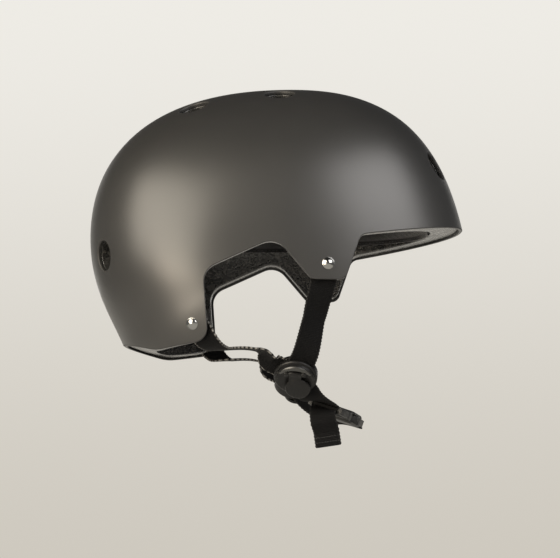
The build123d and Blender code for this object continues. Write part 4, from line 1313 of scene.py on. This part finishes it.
def refineNode(node, name, body, slot, width):
    h = hardware
    work = bmesh.new()
    work.from_mesh(nodes[node].data)
    bmesh.ops.remove_doubles(work, verts=work.verts, dist=h["merge"])
    bmesh.ops.dissolve_limit(work, angle_limit=math.radians(h["flat"]), verts=work.verts,
                             edges=work.edges)
    mesh = bpy.data.meshes.new(name)
    work.to_mesh(mesh)
    work.free()
    piece = addThing(name, mesh)
    edge = piece.modifiers.new("roundEdges", "BEVEL")
    edge.width = width * mm
    edge.segments = h["segments"]
    edge.limit_method = "ANGLE"
    edge.angle_limit = math.radians(h["sharp"])
    edge.miter_outer = "MITER_ARC"
    edge.use_clamp_overlap = True
    edge.harden_normals = True
    bakeModifiers(piece)
    if node == "buckle_tongue":
        shadeBar(piece.data)
    piece.data.materials.clear()
    piece.data.materials.append(slotMaterials[slot])
    piece.data.shade_smooth()
    piece.data.set_sharp_from_angle(angle=math.radians(h["sharp"]))
    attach(piece, body)
    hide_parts(node)


for node, name, body, slot, width in hardware["pieces"]:
    refineNode(node, name, body, slot, width)
print("hard pieces made")

# Smooth crescent over each divider's hinge
hood = {
    "outer": 14.3 * mm, "inner": 9.4 * mm, "base": 4.1 * mm, "rise": 4.0 * mm,
    "from": 8, "to": 172, "turns": 56, "steps": 18, "belly": 0.6, "sharp": 60,
    "taper": 0.45, "narrowShare": 0.35, "tipShare": 0.02, "roundness": 0.8,
    "merge": 0.01 * mm,
}


def makeHood(name, flip):
    h = hood
    points, faces = [], []
    for k in range(h["turns"] + 1):
        share = k / h["turns"]
        turn = math.radians(h["from"] + (h["to"] - h["from"]) * share)
        full = max(math.sin(math.pi * share), 0.0) ** h["taper"]
        thin = h["narrowShare"] + (1 - h["narrowShare"]) * full
        middle = h["outer"] - (h["outer"] - h["inner"]) * 0.5 * thin
        half = (h["outer"] - middle) * max(full, h["tipShare"])
        for i in range(h["steps"] + 1):
            a = math.pi * i / h["steps"]
            reach = middle + half * math.copysign(abs(math.cos(a)) ** h["belly"], math.cos(a))
            height = h["base"] + h["rise"] * full * math.sin(a) ** h["roundness"]
            place = (dividerAt + dividerX * reach * math.cos(turn)
                     + dividerY * reach * math.sin(turn) + dividerOut * height)
            points.append(place * flip)
    n = h["steps"] + 1
    for k in range(h["turns"]):
        faces += [(k * n + i, k * n + (i + 1) % n, (k + 1) * n + (i + 1) % n, (k + 1) * n + i)
                  for i in range(n)]
    faces += [tuple(range(n)), tuple(range(h["turns"] * n, len(points)))]
    mesh = meshFrom(name, points, faces=faces)
    mend(mesh, h["merge"])
    mesh.set_sharp_from_angle(angle=math.radians(h["sharp"]))
    piece = addThing(name, mesh, hoodPlastic)
    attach(piece, "root")


makeHood("dividerHoodRight", 1)
makeHood("dividerHoodLeft", mirror)
print("hinge hoods made")

# Rivets, one shape set at each seat
rivets = {
    "headRadius": 4.4 * mm, "headHeight": 2.4 * mm, "domeSteps": 12, "turns": 40, "sharp": 40,
    # Below the dome, in mm: the head's lip, the shank, and the tail set over its washer
    "below": [(4.35, 0.3), (4.4, 0.15), (4.3, 0.02), (2.4, 0.02), (2.4, -7.0), (4.0, -7.0),
              (4.0, -7.3), (3.2, -8.2), (1.8, -8.2), (1.6, -7.7), (0, -7.6)],
}


def rivetTree():
    # The shape at each point that comes in, along the point's own way outward
    tree, i = geometryTree("setRivets", [("Shape", "Object", None),
                                         ("Material", "Material", None)])
    shape = wire(tree, "GeometryNodeObjectInfo", {"Object": i["Shape"]})
    way = wire(tree, "GeometryNodeInputNamedAttribute", {"Name": "outward"},
               data_type="FLOAT_VECTOR")
    placed = setAlong(tree, i["Geometry"], way.outputs["Attribute"],
                      {"Instance": shape.outputs["Geometry"]})
    return endTree(tree, placed, i["Material"])


def rivetShape():
    # A domed head, shank and tail turned about Z
    r = rivets
    ball = (r["headRadius"] ** 2 + r["headHeight"] ** 2) / (2 * r["headHeight"])
    turns = np.arange(r["domeSteps"]) / r["domeSteps"] * math.asin(r["headRadius"] / ball)
    line = [(ball * math.sin(a), r["headHeight"] - ball * (1 - math.cos(a))) for a in turns]
    line += [(radius * mm, height * mm) for radius, height in r["below"]]
    work = bmesh.new()
    around = 2 * math.pi * np.arange(r["turns"]) / r["turns"]
    rows = [[work.verts.new((radius * math.cos(a), radius * math.sin(a), height))
             for a in (around if radius else [0])] for radius, height in line]
    for a, b in zip(rows, rows[1:]):
        for k in range(r["turns"]):
            j = (k + 1) % r["turns"]
            if len(a) == 1:
                work.faces.new((a[0], b[k], b[j]))
            elif len(b) == 1:
                work.faces.new((a[j], a[k], b[0]))
            else:
                work.faces.new((a[k], b[k], b[j], a[j]))
    mesh = bpy.data.meshes.new("rivetShape")
    work.to_mesh(mesh)
    work.free()
    mend(mesh)
    mesh.set_sharp_from_angle(angle=math.radians(r["sharp"]))
    return addThing("rivetShape", mesh)


def makeRivets():
    mesh = meshFrom("strapRivets", [place for place, way in seats.values()])
    outward = mesh.attributes.new("outward", "FLOAT_VECTOR", "POINT")
    outward.data.foreach_set("vector", np.concatenate([way for place, way in seats.values()]))
    thing = addThing("strapRivets", mesh)
    shape = rivetShape()
    useTree(thing, rivetTree(), {"Shape": shape, "Material": slotMaterials["rivet_metal"]})
    bpy.data.objects.remove(shape)
    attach(thing, "root")
    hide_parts("strap_rivets")
    print("rivets made")


makeRivets()

# Comfort pads: crowned cushions with a thin sewn border
pads = {
    "outerInset": 25.0 * mm, "innerInset": 33.0 * mm, "border": 2.8 * mm, "borderShare": 0.2,
    "rise": 7.0 * mm, "step": 1.1 * mm, "pucker": 0.07, "puckerPitch": 7 * mm,
    "puckerFade": 2.2, "drift": 1.3, "driftLength": 19 * mm, "wave": 0.035,
    "waveLength": 13 * mm, "wavePhase": 2, "puff": 0.8, "dip": 0.03, "leastShare": 0.8,
    "fullShare": 0.97, "middleShare": 0.955, "middleGap": 0.8 * mm, "middleEnd": 0.3 * mm,
    "middleRows": 4, "seam": 1.5 * mm, "seamRise": 0.01, "merge": 0.05 * mm,
    "turnReach": 1.45, "turnSamples": 400, "cornerSteps": 12,
    # The border's lip: how far in it lies, and its share of the way through the pad
    "lip": (0.12 * mm, 0.03),
    # How far in from the edge each row lies, in mm
    "rows": [0, 0.35, 0.9, 1.5, 2.2, 2.8, 3.3, 4.0, 4.9, 5.9, 7.0, 8.2, 9.6, 11.2],
    "stitch": {"Pitch": 3.0 * mm, "Length": 2.2 * mm, "Thickness": 0.5 * mm},
}
padPlaces = {
    "brow_pad": {"name": "browPad", "kind": "front", "cut": 53 * mm, "low": -3 * mm,
                 "high": 23 * mm, "corner": 10 * mm},
    "nape_pad": {"name": "napePad", "kind": "rear", "cut": -61 * mm, "low": -80 * mm,
                 "high": -44 * mm, "corner": 10 * mm},
    "crown_pad": {"name": "crownPad", "kind": "top", "centre": 6 * mm, "length": 118 * mm,
                  "width": 38 * mm, "corner": 17 * mm},
    "side_pad_right": {"name": "sidePadRight", "kind": "side", "way": -1, "centre": -1 * mm,
                       "level": 8.5 * mm, "length": 82 * mm, "width": 31 * mm, "corner": 8 * mm},
    "side_pad_left": {"name": "sidePadLeft", "kind": "side", "way": 1, "centre": -1 * mm,
                      "level": 8.5 * mm, "length": 82 * mm, "width": 31 * mm, "corner": 8 * mm},
}


def padRays(place, form):
    # For each pad: its length and width, and the start and way of the ray for a place on it
    if place["kind"] in ("front", "rear"):
        middle = (place["low"] + place["high"]) / 2
        sign = 1 if place["kind"] == "front" else -1
        turns = np.linspace(-pads["turnReach"], pads["turnReach"], pads["turnSamples"])

        def fan(height, turn):
            zero = np.zeros_like(turn)
            return (np.stack([zero, zero, middle + height], 1),
                    np.stack([sign * np.cos(turn), np.sin(turn), zero], 1))

        spots = leaveForm(form, *fan(np.zeros_like(turns), turns))
        keep = spots[:, 0] * sign > place["cut"] * sign
        spots, turns = spots[keep], turns[keep]
        reach = reachOf(spots)
        reach -= reach[-1] / 2
        return (reach[-1] * 2, place["high"] - place["low"],
                lambda a, b: fan(b, np.interp(a, reach, turns)))

    def flat(a, b):
        zero, one = np.zeros_like(a), np.ones_like(a)
        if place["kind"] == "top":
            return np.stack([place["centre"] + a, b, zero], 1), np.stack([zero, zero, one], 1)
        start = np.stack([place["centre"] + a, zero, place["level"] + b], 1)
        return start, np.stack([zero, place["way"] * one, zero], 1)

    return place["length"], place["width"], flat


def roundedRing(length, width, corner, step):
    # Evenly spaced points round a rounded rectangle, and the way round it
    steps = pads["cornerSteps"]
    line = []
    for k, (x, y) in enumerate(((1, 1), (-1, 1), (-1, -1), (1, -1))):
        for i in range(steps + 1):
            a = math.radians(90 * k + 90 * i / steps)
            line.append((x * (length / 2 - corner) + corner * math.cos(a),
                         y * (width / 2 - corner) + corner * math.sin(a)))
    line = np.array(line + line[:1])
    reach = reachOf(line)
    at = np.linspace(0, reach[-1], int(reach[-1] / step), endpoint=False)
    return sampled(line, reach, at), reach[-1]


def makePad(node, place):
    p = pads
    name = place["name"]
    outer, inner = formAt(p["outerInset"]), formAt(p["innerInset"])
    length, width, ray = padRays(place, outer)
    ring, girth = roundedRing(length, width, place["corner"], p["step"])
    count = len(ring)
    half = width / 2
    inward = [d * mm for d in p["rows"] if d * mm < half - p["middleGap"]]
    inward += list(np.linspace(inward[-1], half - p["middleEnd"], p["middleRows"])[1:])
    around = np.arange(count) * girth / count
    points, faces = [], []

    def rowFrom(flat, share):
        # Row of points between the liner and the pad's innermost reach
        start, way = ray(flat[:, 0], flat[:, 1])
        low, high = leaveForm(outer, start, way), leaveForm(inner, start, way)
        first = len(points)
        points.extend(low + (high - low) * np.asarray(share).reshape(-1, 1))
        return list(range(first, len(points)))

    def rowAt(d, share):
        return rowFrom(ring * [(length / 2 - d) / (length / 2), (half - d) / half], share)

    def band(a, b):
        faces.extend((a[i], a[(i + 1) % count], b[(i + 1) % count], b[i]) for i in range(count))

    # From the middle of the flat back out to the edge, and in again over the puffed front
    base = p["borderShare"]
    rows = [rowAt(d, 0.0) for d in reversed(inward[1:])]
    rows.append(rowAt(*p["lip"]))
    rows.append(rowAt(0, base / 2))
    for d in inward[1:]:
        t = np.clip((d - p["border"]) / p["rise"], 0, 1)
        puff = math.sin(t * math.pi / 2) ** p["puff"]
        drift = p["drift"] * np.sin(around / p["driftLength"])
        fold = p["pucker"] * np.sin(2 * math.pi * around / p["puckerPitch"] + drift)
        fold = fold * math.sin(min(t * p["puckerFade"], 1) * math.pi)
        wave = p["wave"] * np.sin(around / p["waveLength"] + p["wavePhase"]) * t
        share = base + (p["fullShare"] - base) * puff * (1 + fold) - wave * puff
        dip = p["dip"] * (1 - t) * (t > 0)
        rows.append(rowAt(d, np.clip(share - dip, base * p["leastShare"], 1.0)))
    for a, b in zip(rows, rows[1:]):
        band(a, b)
    for row, share in ((rows[0], 0.0), (rows[-1], p["middleShare"])):
        band(row, rowFrom(ring * [(length / 2 - half) / (length / 2), 0], share))
    mesh = meshFrom(name, points, faces=faces)
    mend(mesh, p["merge"])
    pad = addThing(name, mesh, slotMaterials["pad_fabric"])
    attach(pad, "root")
    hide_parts(node)
    stitched = rowAt(p["seam"], base + p["seamRise"])
    makeStitches(name + "Seam", [[points[i] for i in stitched + stitched[:1]]], "root",
                 p["stitch"])
    print(name, "made:", len(mesh.polygons), "faces")


for node, place in padPlaces.items():
    makePad(node, place)

nodes["pad_fastener_discs"].data.materials.clear()
nodes["pad_fastener_discs"].data.materials.append(slotMaterials["hook_discs"])

# Stage, light and camera
studio = {
    "floor": -0.42, "back": 2.2, "front": -3.4, "half": 1.25, "top": 0.8, "turn": 1.2,
    # low and high: the paper's glow near the floor and high up, a painted falloff of light
    "low": (0.60, 0.565, 0.50), "high": (0.86, 0.84, 0.79), "lowAt": -0.5, "highAt": 0.75,
    "paper": (0.78, 0.76, 0.72), "above": (0.02, 0.02, 0.021), "level": (0.15, 0.148, 0.143),
    "below": (0.10, 0.097, 0.09), "aboveAt": 0.75, "belowAt": -0.6, "distance": 1.9,
    "turnSteps": 16,
    # Each lamp: the way to it, round from the camera's side and up, its size, power and colour
    "lamps": [
        ("windowLeft", (-49, 22), (2.0, 1.5), 53, (1.0, 0.91, 0.765)),
        ("lowLeft", (-40, -11), (0.9, 0.8), 25, (1.0, 0.86, 0.68)),
        ("windowRight", (54, 29), (1.6, 1.25), 28, (1.0, 0.97, 0.95)),
        ("behindLow", (180, -6), (1.8, 0.5), 6, (1.0, 0.98, 0.95)),
    ],
}
photo = {
    "place": (0.0015, -1.6, -0.18), "pitch": 5.16, "lens": 135.9, "sensor": 36.0,
}


def makePaper():
    # Paper that the camera and reflections see as a pale glow, with painted light: brighter high
    # up and darker towards the floor
    s = studio
    material = bpy.data.materials.new("palePaper")
    material.use_nodes = True
    tree = material.node_tree
    tree.nodes.clear()
    height = wire(tree, "ShaderNodeSeparateXYZ", {"Vector": placeOf(tree)}).outputs["Z"]
    # Painted light: the glow ramps from the low tone to the high tone with height
    rise = rangeOf(tree, height, s["lowAt"], s["highAt"], interpolation_type="SMOOTHSTEP")
    glow = wire(tree, "ShaderNodeEmission", {
        "Color": mixed(tree, rise, (*s["low"], 1), (*s["high"], 1))})
    plain = wire(tree, "ShaderNodeBsdfDiffuse", {"Color": (*s["paper"], 1)})
    path = wire(tree, "ShaderNodeLightPath").outputs
    seen = sums(tree, "MAXIMUM", path["Is Camera Ray"], path["Is Glossy Ray"])
    seen = sums(tree, "MAXIMUM", seen, path["Is Transmission Ray"])
    both = wire(tree, "ShaderNodeMixShader", {0: seen, 1: plain.outputs["BSDF"],
                                              2: glow.outputs["Emission"]})
    wire(tree, "ShaderNodeOutputMaterial", {"Surface": both.outputs["Shader"]})
    return material


def makeStage():
    # One sheet that runs along the floor and turns up behind
    s = studio
    line = [(s["front"], s["floor"]), (s["back"] - s["turn"], s["floor"])]
    for k in range(1, s["turnSteps"] + 1):
        a = math.radians(90 * k / s["turnSteps"])
        line.append((s["back"] - s["turn"] + s["turn"] * math.sin(a),
                     s["floor"] + s["turn"] * (1 - math.cos(a))))
    line.append((s["back"], s["top"]))
    points = [(x, y, z) for y, z in line for x in (-s["half"], s["half"])]
    faces = [(2 * i, 2 * i + 1, 2 * i + 3, 2 * i + 2) for i in range(len(line) - 1)]
    mesh = meshFrom("paperSweep", points, faces=faces)
    mesh.shade_smooth()
    addThing("paperSweep", mesh, makePaper())


def makeLamp(name, way, size, power, colour):
    around, up = math.radians(way[0]), math.radians(way[1])
    place = Vector((math.sin(around) * math.cos(up), -math.cos(around) * math.cos(up),
                    math.sin(up))) * studio["distance"]
    light = bpy.data.lights.new(name, "AREA")
    light.shape = "RECTANGLE"
    light.size, light.size_y = size
    light.energy = power
    light.color = colour
    lamp = addThing(name, light)
    lamp.location = place
    lamp.rotation_euler = (-place).to_track_quat("-Z", "Y").to_euler()
    lamp.visible_camera = False


def makeWorld():
    # Soft light from all round, dim above and brightest at eye level
    world = bpy.data.worlds.new("softRoom")
    world.use_nodes = True
    tree = world.node_tree
    way = wire(tree, "ShaderNodeTexCoord").outputs["Generated"]
    up = wire(tree, "ShaderNodeSeparateXYZ", {"Vector": way}).outputs["Z"]
    high = rangeOf(tree, up, 0.0, studio["aboveAt"], interpolation_type="SMOOTHSTEP")
    low = rangeOf(tree, up, 0.0, studio["belowAt"], interpolation_type="SMOOTHSTEP")
    tone = mixed(tree, high, (*studio["level"], 1), (*studio["above"], 1))
    tone = mixed(tree, low, tone, (*studio["below"], 1))
    tree.links.new(tone, tree.nodes["Background"].inputs["Color"])
    bpy.context.scene.world = world


def makeCamera():
    lens = bpy.data.cameras.new("photoView")
    lens.sensor_fit = "HORIZONTAL"
    lens.sensor_width = photo["sensor"]
    lens.lens = photo["lens"]
    camera = addThing("photoView", lens)
    camera.location = photo["place"]
    camera.rotation_euler = (math.radians(90 + photo["pitch"]), 0, 0)
    bpy.context.scene.camera = camera


makeStage()
makeWorld()
makeCamera()
for lamp in studio["lamps"]:
    makeLamp(*lamp)
bpy.context.scene.view_settings.view_transform = "Standard"
print("stage, light and camera set")
